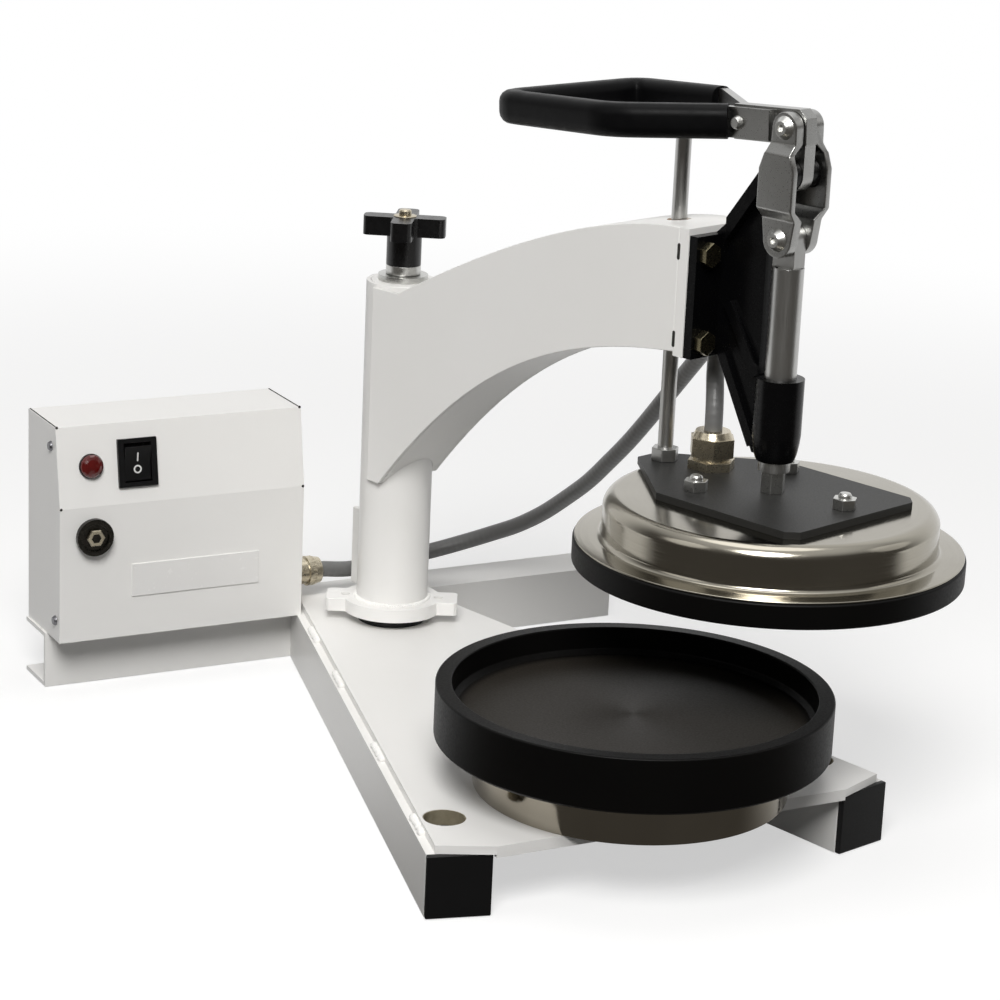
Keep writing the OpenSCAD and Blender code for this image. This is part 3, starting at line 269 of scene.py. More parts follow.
# Ceramic terminal block inside the box: cream, glazed
glazedCeramic = simpleMaterial("glazedCeramic", ("#E0DDD3", "#D4D0C5"), patch=10, roughs=(0.3, 0.45), grain=1.5,
                               height=0.01)
# Red acrylic lamp lens, unlit: deep red with a clear gloss
redLens = simpleMaterial("redLens", ("#62110F", "#420B0A"), patch=5, roughs=(0.1, 0.18), grain=2.0, height=0.01,
                         coat=0.4)
# Dark gaps in sheet metal joints: near black and dull
seamShadow = simpleMaterial("seamShadow", ("#3A3835", "#262523"), patch=4, roughs=(0.6, 0.75), grain=0.8,
                            height=0.01, specular=0.2)


# Place about the upright axis through centre: the offset, its height and its distance from the axis
def aboutAxis(tree, coords, centre):
    offset = addNode(tree, "ShaderNodeVectorMath", {0: coords, 1: (centre.x, centre.y, 0)},
                     operation="SUBTRACT").outputs[0]
    parts = addNode(tree, "ShaderNodeSeparateXYZ", {0: offset}).outputs
    flat = addNode(tree, "ShaderNodeCombineXYZ", {0: parts[0], 1: parts[1]})
    radius = addNode(tree, "ShaderNodeVectorMath", {0: flat.outputs[0]}, operation="LENGTH").outputs["Value"]
    return offset, parts[2], radius


# Tool marks of a turned face run round that axis
def setTurnedLay(tree, shader, offset, strength):
    lay = addNode(tree, "ShaderNodeVectorMath", {0: (0, 0, 1), 1: offset}, operation="CROSS_PRODUCT")
    world = addNode(tree, "ShaderNodeVectorTransform", {0: lay.outputs[0]}, vector_type="VECTOR",
                    convert_from="OBJECT", convert_to="WORLD")
    shader.inputs["Anisotropic"].default_value = strength
    tree.links.new(world.outputs[0], shader.inputs["Tangent"])


# Spun and sheet stainless: fine rings about an upright axis, a slight tan from heat
def stainlessMaterial(name, centre, colours, roughs, ringPitch, ringHeight, patch=55, layStrength=0.35):
    material, tree, shader, coords = startMaterial(name, 1.0, roughs[0])
    offset, height, radius = aboutAxis(tree, coords, centre)
    profile = addNode(tree, "ShaderNodeMath", {0: radius, 1: height}, operation="ADD").outputs[0]
    rings = addNode(tree, "ShaderNodeTexNoise", {"W": profile, "Scale": perMetre(ringPitch),
                                                 "Detail": noiseDetail["rings"]},
                    noise_dimensions="1D").outputs["Fac"]
    setColours(tree, shader, noise(tree, coords, patch, noiseDetail["patches"]), colours)
    setRoughness(tree, shader, rings, roughs)
    setBump(tree, shader, rings, ringHeight)
    setTurnedLay(tree, shader, offset, layStrength)
    return material


spunStainless = stainlessMaterial("spunStainless", platenCentre, ("#ABA79C", "#938E82"), roughs=(0.12, 0.2),
                                  ringPitch=1.6, ringHeight=0.003)
rolledStainless = stainlessMaterial("rolledStainless", mouldCentre, ("#AAA498", "#908A7E"), roughs=(0.08, 0.16),
                                    ringPitch=1.4, ringHeight=0.002)

# Black non-stick coat on cast aluminium: satin, faintly speckled; the turned floor is painted lighter and browner,
# partly its wear and partly a painted sheen, and shows its lay
nonStick = {"colours": ("#080808", "#0E0D0C"), "patch": 70, "roughs": (0.34, 0.46), "grain": 1.4, "height": 0.015,
            "roughness": 0.42, "specular": 0.09, "floorColour": "#292622", "floorRise": (0.3, 1.5), "floorFade": 8,
            "floorRadius": 105, "layStrength": 0.6}


def nonStickMaterial(name, centre, floorHeight, c):
    material, tree, shader, coords = startMaterial(name, 0.0, c["roughness"], specular=c["specular"])
    tint = mottle(tree, shader, coords, c["colours"], c["patch"], c["roughs"], c["grain"], c["height"])
    offset, height, radius = aboutAxis(tree, coords, centre)
    low = fade(tree, height, [(floorHeight + rise) * mm for rise in c["floorRise"]], (1.0, 0.0), "LINEAR")
    inside = fade(tree, radius, ((c["floorRadius"] - c["floorFade"]) * mm, c["floorRadius"] * mm), (1.0, 0.0))
    # Lighter brown on the floor: partly wear of the coat, partly painted sheen of the turned face
    wearAndSheen = addNode(tree, "ShaderNodeMath", {0: low, 1: inside}, operation="MULTIPLY").outputs[0]
    tree.links.new(mixColours(tree, wearAndSheen, tint, linear(c["floorColour"])), shader.inputs["Base Color"])
    setTurnedLay(tree, shader, offset, c["layStrength"])
    return material


mouldCoat = nonStickMaterial("mouldNonStick", mouldCentre, floorHeight=87, c=nonStick)
dieCoat = nonStickMaterial("dieNonStick", platenCentre, floorHeight=-10, c=nonStick)

# Liquid-tight PVC conduit: grey, smooth jacket with the steel spiral just showing through
pvcJacket = {"colours": ("#747473", "#666665"), "patch": 40, "roughness": 0.4, "spiralPitch": 4.5,
             "spiralHeight": 0.05}


def conduitMaterial(c):
    material, tree, shader, coords = startMaterial("pvcConduit", 0.0, c["roughness"])
    along = addNode(tree, "ShaderNodeAttribute", attribute_name="along").outputs["Fac"]
    turns = addNode(tree, "ShaderNodeMath", {0: along, 1: 2 * math.pi / (c["spiralPitch"] * mm)},
                    operation="MULTIPLY")
    spiral = addNode(tree, "ShaderNodeMath", {0: turns.outputs[0]}, operation="SINE").outputs[0]
    setColours(tree, shader, noise(tree, coords, c["patch"], noiseDetail["patches"]), c["colours"])
    setBump(tree, shader, spiral, c["spiralHeight"])
    return material


pvcConduit = conduitMaterial(pvcJacket)
print("materials made")


# Conduit, in two stretches that meet at the top of its arch behind the arm
conduit = {
    "diameter": 11 * mm,
    "lower": [(-22.4, 72, 58), (-18.4, 72, 58), (0, 72, 56), (23, 72, 57), (46, 72, 60), (68, 69, 64),
              (87, 62, 70), (102, 50, 78), (113, 33, 88), (121, 12, 102), (126, -11, 119), (129, -35, 137),
              (130, -59, 157), (130, -83, 177), (129, -107, 198), (127, -130, 218), (125, -152, 237),
              (122, -172, 253), (119, -189, 266), (115, -203, 274)],
    "upper": [(-30, 32, 44), (-22, 24, 42.5), (-15, 16, 38), (-9, 9, 31), (-4, 4, 22), (-1, 1, 12.5), (0, 0, 5),
              (0, 0, 0.1)],
    "connectorTop": (268, 10, 233),
    "steps": 6,
    "sides": 28,
    "smoothAngle": 35,
}


def smoothRoute(points, steps):
    route = []
    for i in range(len(points) - 1):
        a, b = points[max(i - 1, 0)], points[i]
        c, d = points[i + 1], points[min(i + 2, len(points) - 1)]
        for k in range(steps):
            t = k / steps
            route.append(0.5 * (2 * b + (c - a) * t + (2 * a - 5 * b + 4 * c - d) * t ** 2
                                + (3 * b - a - 3 * c + d) * t ** 3))
    return route + [points[-1]]


def startTree(name, sockets):
    tree = bpy.data.node_groups.new(name, "GeometryNodeTree")
    tree.interface.new_socket("Geometry", in_out="INPUT", socket_type="NodeSocketGeometry")
    for label, kind in sockets.items():
        tree.interface.new_socket(label, in_out="INPUT", socket_type="NodeSocket" + kind)
    tree.interface.new_socket("Geometry", in_out="OUTPUT", socket_type="NodeSocketGeometry")
    return tree, addNode(tree, "NodeGroupInput").outputs


# Ends a tree: instances made real, one material on all of it
def endTree(tree, made, finish):
    whole = addNode(tree, "GeometryNodeRealizeInstances", {0: made})
    coated = addNode(tree, "GeometryNodeSetMaterial", {"Geometry": whole.outputs[0], "Material": finish})
    addNode(tree, "NodeGroupOutput", {0: coated.outputs[0]})
    return tree


# Runs a tree on a mesh and keeps the result as a plain mesh object
def grow(name, mesh, tree, values):
    work = addPiece(name + "Work", mesh)
    modifier = work.modifiers.new("grow", "NODES")
    modifier.node_group = tree
    for socket in tree.interface.items_tree:
        if socket.in_out == "INPUT" and socket.name in values:
            modifier[socket.identifier] = values[socket.name]
    work.update_tag()
    graph = bpy.context.evaluated_depsgraph_get()
    result = bpy.data.meshes.new_from_object(work.evaluated_get(graph), preserve_all_data_layers=True,
                                             depsgraph=graph)
    bpy.data.objects.remove(work)
    result.name = name
    return addPiece(name, result)


def lineMesh(name, points, edges):
    mesh = bpy.data.meshes.new(name)
    mesh.from_pydata([tuple(p) for p in points], edges, [])
    return mesh


def makeTubeTree():
    tree, given = startTree("tubeAlongPath", {"Radius": "Float", "Sides": "Int", "Finish": "Material"})
    line = addNode(tree, "GeometryNodeMeshToCurve", {"Mesh": given["Geometry"]})
    length = addNode(tree, "GeometryNodeSplineParameter").outputs["Length"]
    marked = addNode(tree, "GeometryNodeStoreNamedAttribute", {"Geometry": line.outputs[0], "Name": "along",
                                                               "Value": length}, domain="POINT")
    ring = addNode(tree, "GeometryNodeCurvePrimitiveCircle", {"Resolution": given["Sides"],
                                                              "Radius": given["Radius"]})
    tube = addNode(tree, "GeometryNodeCurveToMesh", {"Curve": marked.outputs[0],
                                                     "Profile Curve": ring.outputs[0], "Fill Caps": True})
    return endTree(tree, tube.outputs[0], given["Finish"])


tubeTree = makeTubeTree()


def routeLength(points):
    return sum((b - a).length for a, b in zip(points, points[1:]))


def makeConduit(sizes):
    start = Vector(sizes["connectorTop"])
    lower = [postPoint(*p) for p in sizes["lower"]]
    upper = [armPoint(*(start + Vector(p))) for p in sizes["upper"]]
    route = smoothRoute(lower + upper, sizes["steps"])
    meet = len(lower) * sizes["steps"]
    stretches = {"conduitLower": (route[:meet + 1], "conduit_lower", "base", "arm"),
                 "conduitUpper": (route[meet:], "conduit_upper", "arm", "platen")}
    for name, (points, node, first, last) in stretches.items():
        edges = [(i, i + 1) for i in range(len(points) - 1)]
        piece = grow(name, lineMesh(name + "Line", points, edges), tubeTree,
                     {"Radius": sizes["diameter"] / 2, "Sides": sizes["sides"], "Finish": pvcConduit})
        smoothShade(piece.data, sizes["smoothAngle"])
        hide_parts(node)
        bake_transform(piece)
        print(name, "length", round(routeLength(points), 4))


makeConduit(conduit)
print("conduit made")


# Softened copies of the machined and sheet parts: the same solids with edges broken by so many millimetres
softParts = {
    "base_plate": (0.8, whitePowderCoat), "left_leg": (1.0, whitePowderCoat), "right_leg": (1.0, whitePowderCoat),
    "rear_channel": (0.8, whitePowderCoat), "leg_end_caps": (0.9, mouldedAbs),
    "thrust_washer": (0.3, mouldedAbs), "pedestal_drum": (0.5, rolledStainless),
    "lower_mould": (0.5, mouldCoat), "box_chassis": (0.5, whitePowderCoat), "box_cover": (0.6, whitePowderCoat),
    "box_left_side": (0.5, whitePowderCoat), "box_right_side": (0.5, whitePowderCoat),
    "box_fasteners": (0.25, turnedSteel), "rocker_frame": (0.5, switchBlack), "rocker_paddle": (0.5, switchBlack),
    "lamp_bezel": (0.3, switchBlack), "fuse_body": (0.4, switchBlack),
    "fuse_cap": (0.4, blackChrome), "badge_plate": (0.25, labelFilm), "conduit_gland": (0.5, nickelPlate),
    "column_tube": (0.8, whitePowderCoat), "foot_flange": (1.4, whitePowderCoat),
    "rear_gusset": (0.8, whitePowderCoat), "tube_cap": (0.4, whitePowderCoat),
    "near_arm_plate": (0.7, whitePowderCoat), "far_arm_plate": (0.7, whitePowderCoat),
    "arm_top_strip": (0.4, whitePowderCoat), "arm_bottom_strip": (0.4, whitePowderCoat),
    "arm_end_plate": (0.6, whitePowderCoat), "clamp_bracket": (0.8, blackEnamel),
    "bracket_bolts": (0.4, yellowZinc), "knob_washer": (0.3, brightZinc), "knob_collar": (0.4, brightZinc),
    "clamp_knob": (1.0, phenolic), "handle_plate": (0.7, castZincSteel), "handle_core": (0.5, castZincSteel),
    "handle_screws": (0.3, brightZinc), "near_link": (0.9, castZincSteel), "far_link": (0.9, castZincSteel),
    "link_screws": (0.3, brightZinc), "plunger": (0.5, groundSteel), "adjusting_bolt": (0.4, brightZinc),
    "mounting_plate": (0.6, blackPowderCoat), "platen_studs": (0.4, brightZinc),
    "upper_die": (0.5, dieCoat), "guide_rod": (0.5, groundSteel),
    "platen_connector": (0.4, nickelPlate), "handle_grip": (0.6, dippedVinyl),
}
# How they are softened: a gap in metres, angles in degrees
softening = {"mergeGap": 2e-6, "flatAngle": 0.5, "edgeAngle": 38, "steps": 2, "smoothAngle": 32, "faceWeight": 50}
# The box's front keeps its shallow bend as a line
crispAngle = {"box_cover": 6}


# Applies a piece's modifiers to its mesh
def bakeModifiers(piece):
    old = piece.data
    name = old.name
    graph = bpy.context.evaluated_depsgraph_get()
    piece.data = bpy.data.meshes.new_from_object(piece.evaluated_get(graph), depsgraph=graph)
    piece.modifiers.clear()
    bpy.data.meshes.remove(old)
    piece.data.name = name


# Breaks the edges, then weights the normals so that large flat faces stay flat to the eye
def softCopy(node, width, material, c):
    work = bmesh.new()
    work.from_mesh(frame["nodes"][node].data)
    bmesh.ops.remove_doubles(work, verts=work.verts, dist=c["mergeGap"])
    bmesh.ops.dissolve_limit(work, angle_limit=math.radians(c["flatAngle"]), verts=work.verts, edges=work.edges)
    mesh = bpy.data.meshes.new(node + "Soft")
    work.to_mesh(mesh)
    work.free()
    piece = addPiece(node + "Soft", mesh)
    edge = piece.modifiers.new("edge", "BEVEL")
    edge.width = width * mm
    edge.segments = c["steps"]
    edge.limit_method = "ANGLE"
    edge.angle_limit = math.radians(c["edgeAngle"])
    edge.use_clamp_overlap = True
    edge.miter_outer = "MITER_ARC"
    bakeModifiers(piece)
    smoothShade(piece.data, crispAngle.get(node, c["smoothAngle"]))
    flat = piece.modifiers.new("flat", "WEIGHTED_NORMAL")
    flat.keep_sharp = True
    flat.weight = c["faceWeight"]
    bakeModifiers(piece)
    piece.data.materials.clear()
    piece.data.materials.append(material)
    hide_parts(node)
    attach(piece, bodyOf[node])


for node, (width, material) in softParts.items():
    softCopy(node, width, material, softening)
print("softened", len(softParts), "parts")

# The parts that stay as they are, mostly out of sight
hiddenParts = {"pivot_post": turnedSteel, "mould_spacer": turnedSteel, "mould_bolt": brightZinc,
               "gland_nut": brightZinc, "terminal_block": glazedCeramic, "arm_bushes": sinteredBronze,
               "handle_pin": castZincSteel, "heater_ring": turnedSteel}
for node, material in hiddenParts.items():
    mesh = frame["nodes"][node].data
    mesh.materials.clear()
    mesh.materials.append(material)
print("carried over", len(hiddenParts), "parts")


def settle(piece, body, slot, *nodes):
    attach(piece, body)
    if nodes:
        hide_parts(*nodes)


# Turns a filled bmesh into a piece with its faces outward
def finishMesh(name, work, material):
    bmesh.ops.recalc_face_normals(work, faces=work.faces)
    mesh = bpy.data.meshes.new(name)
    work.to_mesh(mesh)
    work.free()
    mesh.materials.append(material)
    return addPiece(name, mesh)


# A profile point nearer the axis than this is a single point, in millimetres
axisRadius = 1e-6


# Round piece: a profile of (radius, height) in millimetres, spun about the z axis of place
def spinPiece(name, profile, place, segments, material, closed=False):
    work = bmesh.new()
    rows = []
    for radius, height in profile:
        count = 1 if radius < axisRadius else segments
        angles = [2 * math.pi * k / count for k in range(count)]
        rows.append([work.verts.new(place @ Vector((radius * mm * math.cos(a), radius * mm * math.sin(a),
                                                    height * mm))) for a in angles])
    pairs = list(zip(rows, rows[1:])) + ([(rows[-1], rows[0])] if closed else [])
    for low, high in pairs:
        for k in range(segments):
            j = (k + 1) % segments
            ring = [low[k % len(low)], low[j % len(low)], high[j % len(high)], high[k % len(high)]]
            ring = list(dict.fromkeys(ring))
            if len(ring) > 2:
                work.faces.new(ring)
    return finishMesh(name, work, material)


def arcPoints(cx, cz, r, a0, a1, steps):
    angles = [math.radians(a0 + (a1 - a0) * k / steps) for k in range(steps + 1)]
    return [(cx + r * math.cos(a), cz + r * math.sin(a)) for a in angles]


# Round pieces are shaded smooth below this angle, in degrees
roundAngle = 40

# Spun cover over the heater: round shoulder, a fillet into the flange, and a rolled edge
platenCover = {"wall": 100, "height": 27.6, "shoulder": 9, "fillet": 3.5, "flange": 116, "sheet": 1.2,
               "foot": 177.4, "topRings": (0, 30, 60), "shoulderSteps": 10, "filletSteps": 7, "edgeSteps": 6,
               "innerSteps": 8, "segments": 144}


def makePlatenCover(c):
    r, h, t, f, s = c["wall"], c["height"], c["sheet"], c["fillet"], c["shoulder"]
    outer = [(x, h) for x in c["topRings"]] + arcPoints(r - s, h - s, s, 90, 0, c["shoulderSteps"])
    outer += arcPoints(r + f, t + f, f, 180, 270, c["filletSteps"])
    outer += arcPoints(c["flange"] - t / 2, t / 2, t / 2, 90, -90, c["edgeSteps"])
    inner = [(r - t, 0), (r - t, h - s)]
    inner += arcPoints(r - s, h - s, s - t, 0, 90, c["innerSteps"]) + [(0, h - t)]
    place = Matrix.Translation((platenCentre.x, platenCentre.y, c["foot"] * mm))
    piece = spinPiece("platenCoverSpun", outer + inner, place, c["segments"], spunStainless)
    smoothShade(piece.data, roundAngle)
    settle(piece, "platen", slotOf["platen_cover"], "platen_cover")


makePlatenCover(platenCover)

# Front of the control box: the upper panel leans back
panel = {"x": -223, "front": 371, "bend": 130, "top": 183, "back": 433, "lean": 9, "width": 173.5}
panelLean = math.atan(panel["lean"] / (panel["top"] - panel["bend"]))


def panelPlace(x):
    middle = Vector((x, panel["front"] + panel["lean"] / 2, (panel["top"] + panel["bend"]) / 2)) * mm
    return Matrix.Translation(middle) @ Matrix.Rotation(-panelLean + math.pi / 2, 4, "X")


# Pilot lamp: a faceted dome behind its bezel, on a stem that fills the bezel's bore
lampLens = {"x": -200.4, "radius": 7.9, "seat": 2.05, "edge": 0.6, "rise": 3.7, "stem": 4.7, "depth": 9.9,
            "domeSteps": 5, "facets": 14}


def makeLens(c):
    base = c["seat"] + c["edge"]
    squash = (c["rise"] - c["edge"]) / c["radius"]
    dome = [(x, base + (z - base) * squash) for x, z in arcPoints(0, base, c["radius"], 0, 90, c["domeSteps"])]
    profile = [(0, -c["depth"]), (c["stem"], -c["depth"]), (c["stem"], c["seat"]), (c["radius"], c["seat"])]
    profile += dome[:-1] + [(0, dome[-1][1])]
    piece = spinPiece("lampLensDome", profile, panelPlace(c["x"]), c["facets"], redLens)
    settle(piece, "base", slotOf["lamp_lens"], "lamp_lens")


makeLens(lampLens)
print("round pieces spun")


# Points that carry a shape: where it stands, which way it faces and which way it runs
def pointMesh(name, points, outward, along):
    mesh = lineMesh(name, points, [])
    for label, values in (("outward", outward), ("runs", along)):
        layer = mesh.attributes.new(label, "FLOAT_VECTOR", "POINT")
        layer.data.foreach_set("vector", [c for v in values for c in v])
    return mesh


# A small shape on every point, with a little seeded variation in size
def scatterTree(name, shape, settings, seed=11):
    tree, given = startTree(name, {"Size": "Vector", "Vary": "Float", "Finish": "Material"})
    spots = addNode(tree, "GeometryNodeMeshToPoints", {"Mesh": given["Geometry"]})
    faces = addNode(tree, "GeometryNodeInputNamedAttribute", {"Name": "outward"}, data_type="FLOAT_VECTOR")
    runs = addNode(tree, "GeometryNodeInputNamedAttribute", {"Name": "runs"}, data_type="FLOAT_VECTOR")
    turn = addNode(tree, "FunctionNodeAxesToRotation", {0: faces.outputs[0], 1: runs.outputs[0]},
                   primary_axis="X", secondary_axis="Y")
    least = addNode(tree, "ShaderNodeMath", {0: 1.0, 1: given["Vary"]}, operation="SUBTRACT")
    most = addNode(tree, "ShaderNodeMath", {0: 1.0, 1: given["Vary"]}, operation="ADD")
    dice = addNode(tree, "FunctionNodeRandomValue", {2: least.outputs[0], 3: most.outputs[0], "Seed": seed},
                   data_type="FLOAT")
    size = addNode(tree, "ShaderNodeVectorMath", {0: given["Size"], "Scale": dice.outputs[1]}, operation="SCALE")
    body = addNode(tree, shape, settings)
    grown = addNode(tree, "GeometryNodeInstanceOnPoints", {"Points": spots.outputs[0], "Instance": body.outputs[0],
                                                           "Rotation": turn.outputs[0], "Scale": size.outputs[0]})
    return endTree(tree, grown.outputs[0], given["Finish"])


beadTree = scatterTree("weldBeads", "GeometryNodeMeshIcoSphere", {"Radius": 1.0, "Subdivisions": 2})
ribTree = scatterTree("gripRibs", "GeometryNodeMeshCylinder", {"Vertices": 8, "Radius": 1.0, "Depth": 2.0})
# Beads and ribs are shaded smooth below this angle, in degrees
scatterAngle = 50


def scatter(name, tree, points, outward, along, size, vary, material):
    piece = grow(name, pointMesh(name + "Points", points, outward, along), tree,
                 {"Size": [c * mm for c in size], "Vary": vary, "Finish": material})
    smoothShade(piece.data, scatterAngle)
    return piece


# Stitch welds between the base plate's edges and the legs, placed from each leg's outer front corner
plateWelds = {"cornerX": 152.87, "cornerY": -33.25, "lean": 14, "inset": 5, "middles": (327, 242, 116, 5),
              "length": 28, "pitch": 1.9, "out": 1.5, "height": 39.2, "sway": 0.35, "swayRate": 1.9, "slant": 0.35,
              "bead": (2.4, 1.7, 1.9), "vary": 0.12}


def makePlateWelds(c):
    lean = math.radians(c["lean"])
    count = int(c["length"] / c["pitch"])
    points, outward, along = [], [], []
    for side in (-1, 1):
        way = Vector((-side * math.sin(lean), math.cos(lean), 0))
        out = Vector((side * math.cos(lean), math.sin(lean), 0))
        for middle in c["middles"]:
            edge = c["cornerX"] - (middle - c["cornerY"]) * math.tan(lean) - c["inset"] / math.cos(lean)
            start = Vector((side * edge, middle, c["height"])) + out * c["out"]
            for k in range(count):
                sway = c["sway"] * math.sin(k * c["swayRate"])
                points.append((start + way * (k - count / 2) * c["pitch"] + out * sway) * mm)
                outward.append(out)
                along.append((way + out * c["slant"]).normalized())
    piece = scatter("plateWelds", beadTree, points, outward, along, c["bead"], c["vary"], whitePowderCoat)
    settle(piece, "base", "white_paint")


makePlateWelds(plateWelds)


# Ring of points round an axis, for welds and ribs
def ringOf(place, radius, height, count):
    points, outward, along = [], [], []
    for k in range(count):
        a = 2 * math.pi * k / count
        out = Vector((math.cos(a), math.sin(a), 0))
        points.append(place @ Vector((out.x * radius * mm, out.y * radius * mm, height * mm)))
        outward.append(place.to_3x3() @ out)
        along.append(place.to_3x3() @ Vector((-out.y, out.x, 0)))
    return points, outward, along


# Rings: the fillet weld round the column's foot, and grip ribs on the screw cap and the conduit gland
capPlace = Matrix.Translation((-0.2004, 0.371, 0.1105)) @ Matrix.Rotation(math.pi / 2, 4, "X")
glandPlace = Matrix.Translation((-0.0495, 0.4035, 0.058)) @ Matrix.Rotation(math.pi / 2, 4, "Y")
rings = {
    "columnWeld": {"tree": beadTree, "place": armPlace, "radius": 24.5, "height": 59.0, "count": 96,
                   "size": (1.6, 1.3, 1.5), "vary": 0.1, "finish": whitePowderCoat, "like": "column_tube"},
    "capRibs": {"tree": ribTree, "place": capPlace, "radius": 11.95, "height": 4.4, "count": 26,
                "size": (0.55, 0.8, 2.0), "vary": 0.0, "finish": blackChrome, "like": "fuse_cap"},
    "glandRibs": {"tree": ribTree, "place": glandPlace, "radius": 9.7, "height": 19.5, "count": 20,
                  "size": (0.6, 0.8, 2.6), "vary": 0.0, "finish": nickelPlate, "like": "conduit_gland"},
}
for name, c in rings.items():
    piece = scatter(name, c["tree"], *ringOf(c["place"], c["radius"], c["height"], c["count"]), c["size"],
                    c["vary"], c["finish"])
    settle(piece, bodyOf[c["like"]], slotOf[c["like"]])
print("welds and ribs grown")


# Flat pieces: outlines in millimetres on the xy plane of place, given a thickness
def platePiece(name, outlines, place, thickness, material):
    work = bmesh.new()
    for outline in outlines:
        low = [work.verts.new(place @ Vector((x * mm, y * mm, 0))) for x, y in outline]
        high = [work.verts.new(place @ Vector((x * mm, y * mm, thickness * mm))) for x, y in outline]
        work.faces.new(low[::-1])
        work.faces.new(high)
        for k in range(len(outline)):
            j = (k + 1) % len(outline)
            work.faces.new((low[k], low[j], high[j], high[k]))
    return finishMesh(name, work, material)


def slotOutline(x, y, width, length, steps=6):
    r = width / 2
    reach = length / 2 - r
    return arcPoints(x, y + reach, r, 0, 180, steps) + arcPoints(x, y - reach, r, 180, 360, steps)


# Tab slits where the arm's end plate is let into its near and far sides
tabSlits = {"along": 264.2, "heights": (346.5, 293.8), "width": 2.2, "length": 10, "side": 27.06, "proud": 0.08}


def makeTabSlits(c):
    outlines = [slotOutline(c["along"], z, c["width"], c["length"]) for z in c["heights"]]
    for label, side in (("near", -1), ("far", 1)):
        face = armPlace @ Matrix.Translation((0, side * c["side"] * mm, 0)) @ Matrix.Rotation(math.pi / 2, 4, "X")
        piece = platePiece(label + "TabSlits", outlines, face, c["proud"] * -side, seamShadow)
        settle(piece, "arm", "white_paint")


makeTabSlits(tabSlits)

# Marks on the rocker: a bar just above its fold and a ring just below
rockerMarks = {"x": -168.4, "bar": (1.0, 6.2), "ring": (1.8, 2.8), "proud": 0.12, "barDrop": 1.4, "ringLift": 1.7,
               "segments": 40, "facing": -0.85, "leastArea": 2e-5}


# Middle of the paddle's upper or lower face, with z out of it
def paddleFace(c, upper):
    mesh = frame["nodes"]["rocker_paddle"].data
    wanted = [f for f in mesh.polygons if f.normal.y < c["facing"] and f.area > c["leastArea"]]
    middle = sum(f.center.z for f in wanted) / len(wanted)
    half = [f for f in wanted if (f.center.z > middle) == upper]
    area = sum(f.area for f in half)
    centre = sum((f.center * f.area for f in half), Vector()) / area
    normal = sum((f.normal * f.area for f in half), Vector()).normalized()
    across = Vector((1, 0, 0))
    place = Matrix((across, normal.cross(across), normal)).transposed().to_4x4()
    place.translation = Vector((c["x"] * mm, centre.y, centre.z))
    return place


def makeRockerMarks(c):
    bar = platePiece("rockerBar", [slotOutline(0, -c["barDrop"], *c["bar"])], paddleFace(c, True), c["proud"],
                     whiteInk)
    inner, outer = c["ring"]
    loop = [(inner, 0), (outer, 0), (outer, c["proud"]), (inner, c["proud"])]
    place = paddleFace(c, False) @ Matrix.Translation((0, c["ringLift"] * mm, 0))
    ring = spinPiece("rockerRing", loop, place, c["segments"], whiteInk, closed=True)
    for piece in (bar, ring):
        settle(piece, "rocker", slotOf["rocker_paddle"])


makeRockerMarks(rockerMarks)

# Plated hexagon in the middle of the screw cap
capBoss = {"profile": [(0, 4.9), (6.15, 4.9), (6.15, 7.1), (5.6, 7.6), (3.4, 7.6), (3.1, 6.9), (0, 6.9)],
           "sides": 6}
boss = spinPiece("capBoss", capBoss["profile"], capPlace, capBoss["sides"], nickelPlate)
settle(boss, "screw_cap", slotOf["fuse_cap"])

# End of the clamping stud, with its insert, on top of the knob
knobStud = {"profile": [(0, 319.6), (7.6, 319.6), (7.6, 320.7), (7.1, 321.0), (4.1, 321.0), (4.1, 323.9),
                        (3.4, 324.7), (0, 324.7)], "segments": 40}
stud = spinPiece("knobStudEnd", knobStud["profile"], Matrix.Translation(postPoint(0, 0, 0)), knobStud["segments"],
                 nickelPlate)
smoothShade(stud.data, roundAngle)
settle(stud, "knob", slotOf["knob_collar"])

# Sheet metal seams along the top of the box, with relief holes at the bends
boxSeams = {"inset": 0.9, "radius": 0.45, "sides": 8, "backGap": 1, "dot": (0.5, 1.0, 1.0)}


def makeBoxSeams(c):
    lines, dots = [], []
    for x in (panel["x"] + c["inset"], panel["x"] + panel["width"] - c["inset"]):
        bend = Vector((x, panel["front"], panel["bend"])) * mm
        ends = (panel["front"] + panel["lean"], panel["back"] - c["backGap"])
        lines += [Vector((x, y, panel["top"])) * mm for y in ends]
        dots += [bend, lines[-2]]
    seams = grow("boxSeams", lineMesh("boxSeamLines", lines, [(0, 1), (2, 3)]), tubeTree,
                 {"Radius": c["radius"] * mm, "Sides": c["sides"], "Finish": seamShadow})
    settle(seams, "base", "white_paint")
    holes = scatter("boxReliefs", beadTree, dots, [Vector((0, -1, 0))] * len(dots), [Vector((1, 0, 0))] * len(dots),
                    c["dot"], 0.0, seamShadow)
    settle(holes, "base", "white_paint")


makeBoxSeams(boxSeams)

# Bare steel lining of the access holes
accessHole = {"x": 125, "radius": 12.48, "wall": 0.5, "foot": 33.4, "top": 42.6, "segments": 64}


def makeLinings(c):
    outer, inner = c["radius"], c["radius"] - c["wall"]
    loop = [(outer, c["foot"]), (outer, c["top"]), (inner, c["top"]), (inner, c["foot"])]
    for label, side in (("left", -1), ("right", 1)):
        piece = spinPiece(label + "AccessLining", loop, Matrix.Translation((side * c["x"] * mm, 0, 0)),
                          c["segments"], millSteel, closed=True)
        smoothShade(piece.data, roundAngle)
        settle(piece, "base", "white_paint")


makeLinings(accessHole)
print("small pieces made")

# Level direction of the backdrop, and the shade of the room that metal mirrors from behind the camera
backdrop = (0.474, 0.881, 0)
roomShade = linear("#575450")
whiteLight = (1, 1, 1, 1)


def towardsBackdrop(tree, way):
    return addNode(tree, "ShaderNodeVectorMath", {0: way, 1: backdrop}, operation="DOT_PRODUCT").outputs["Value"]


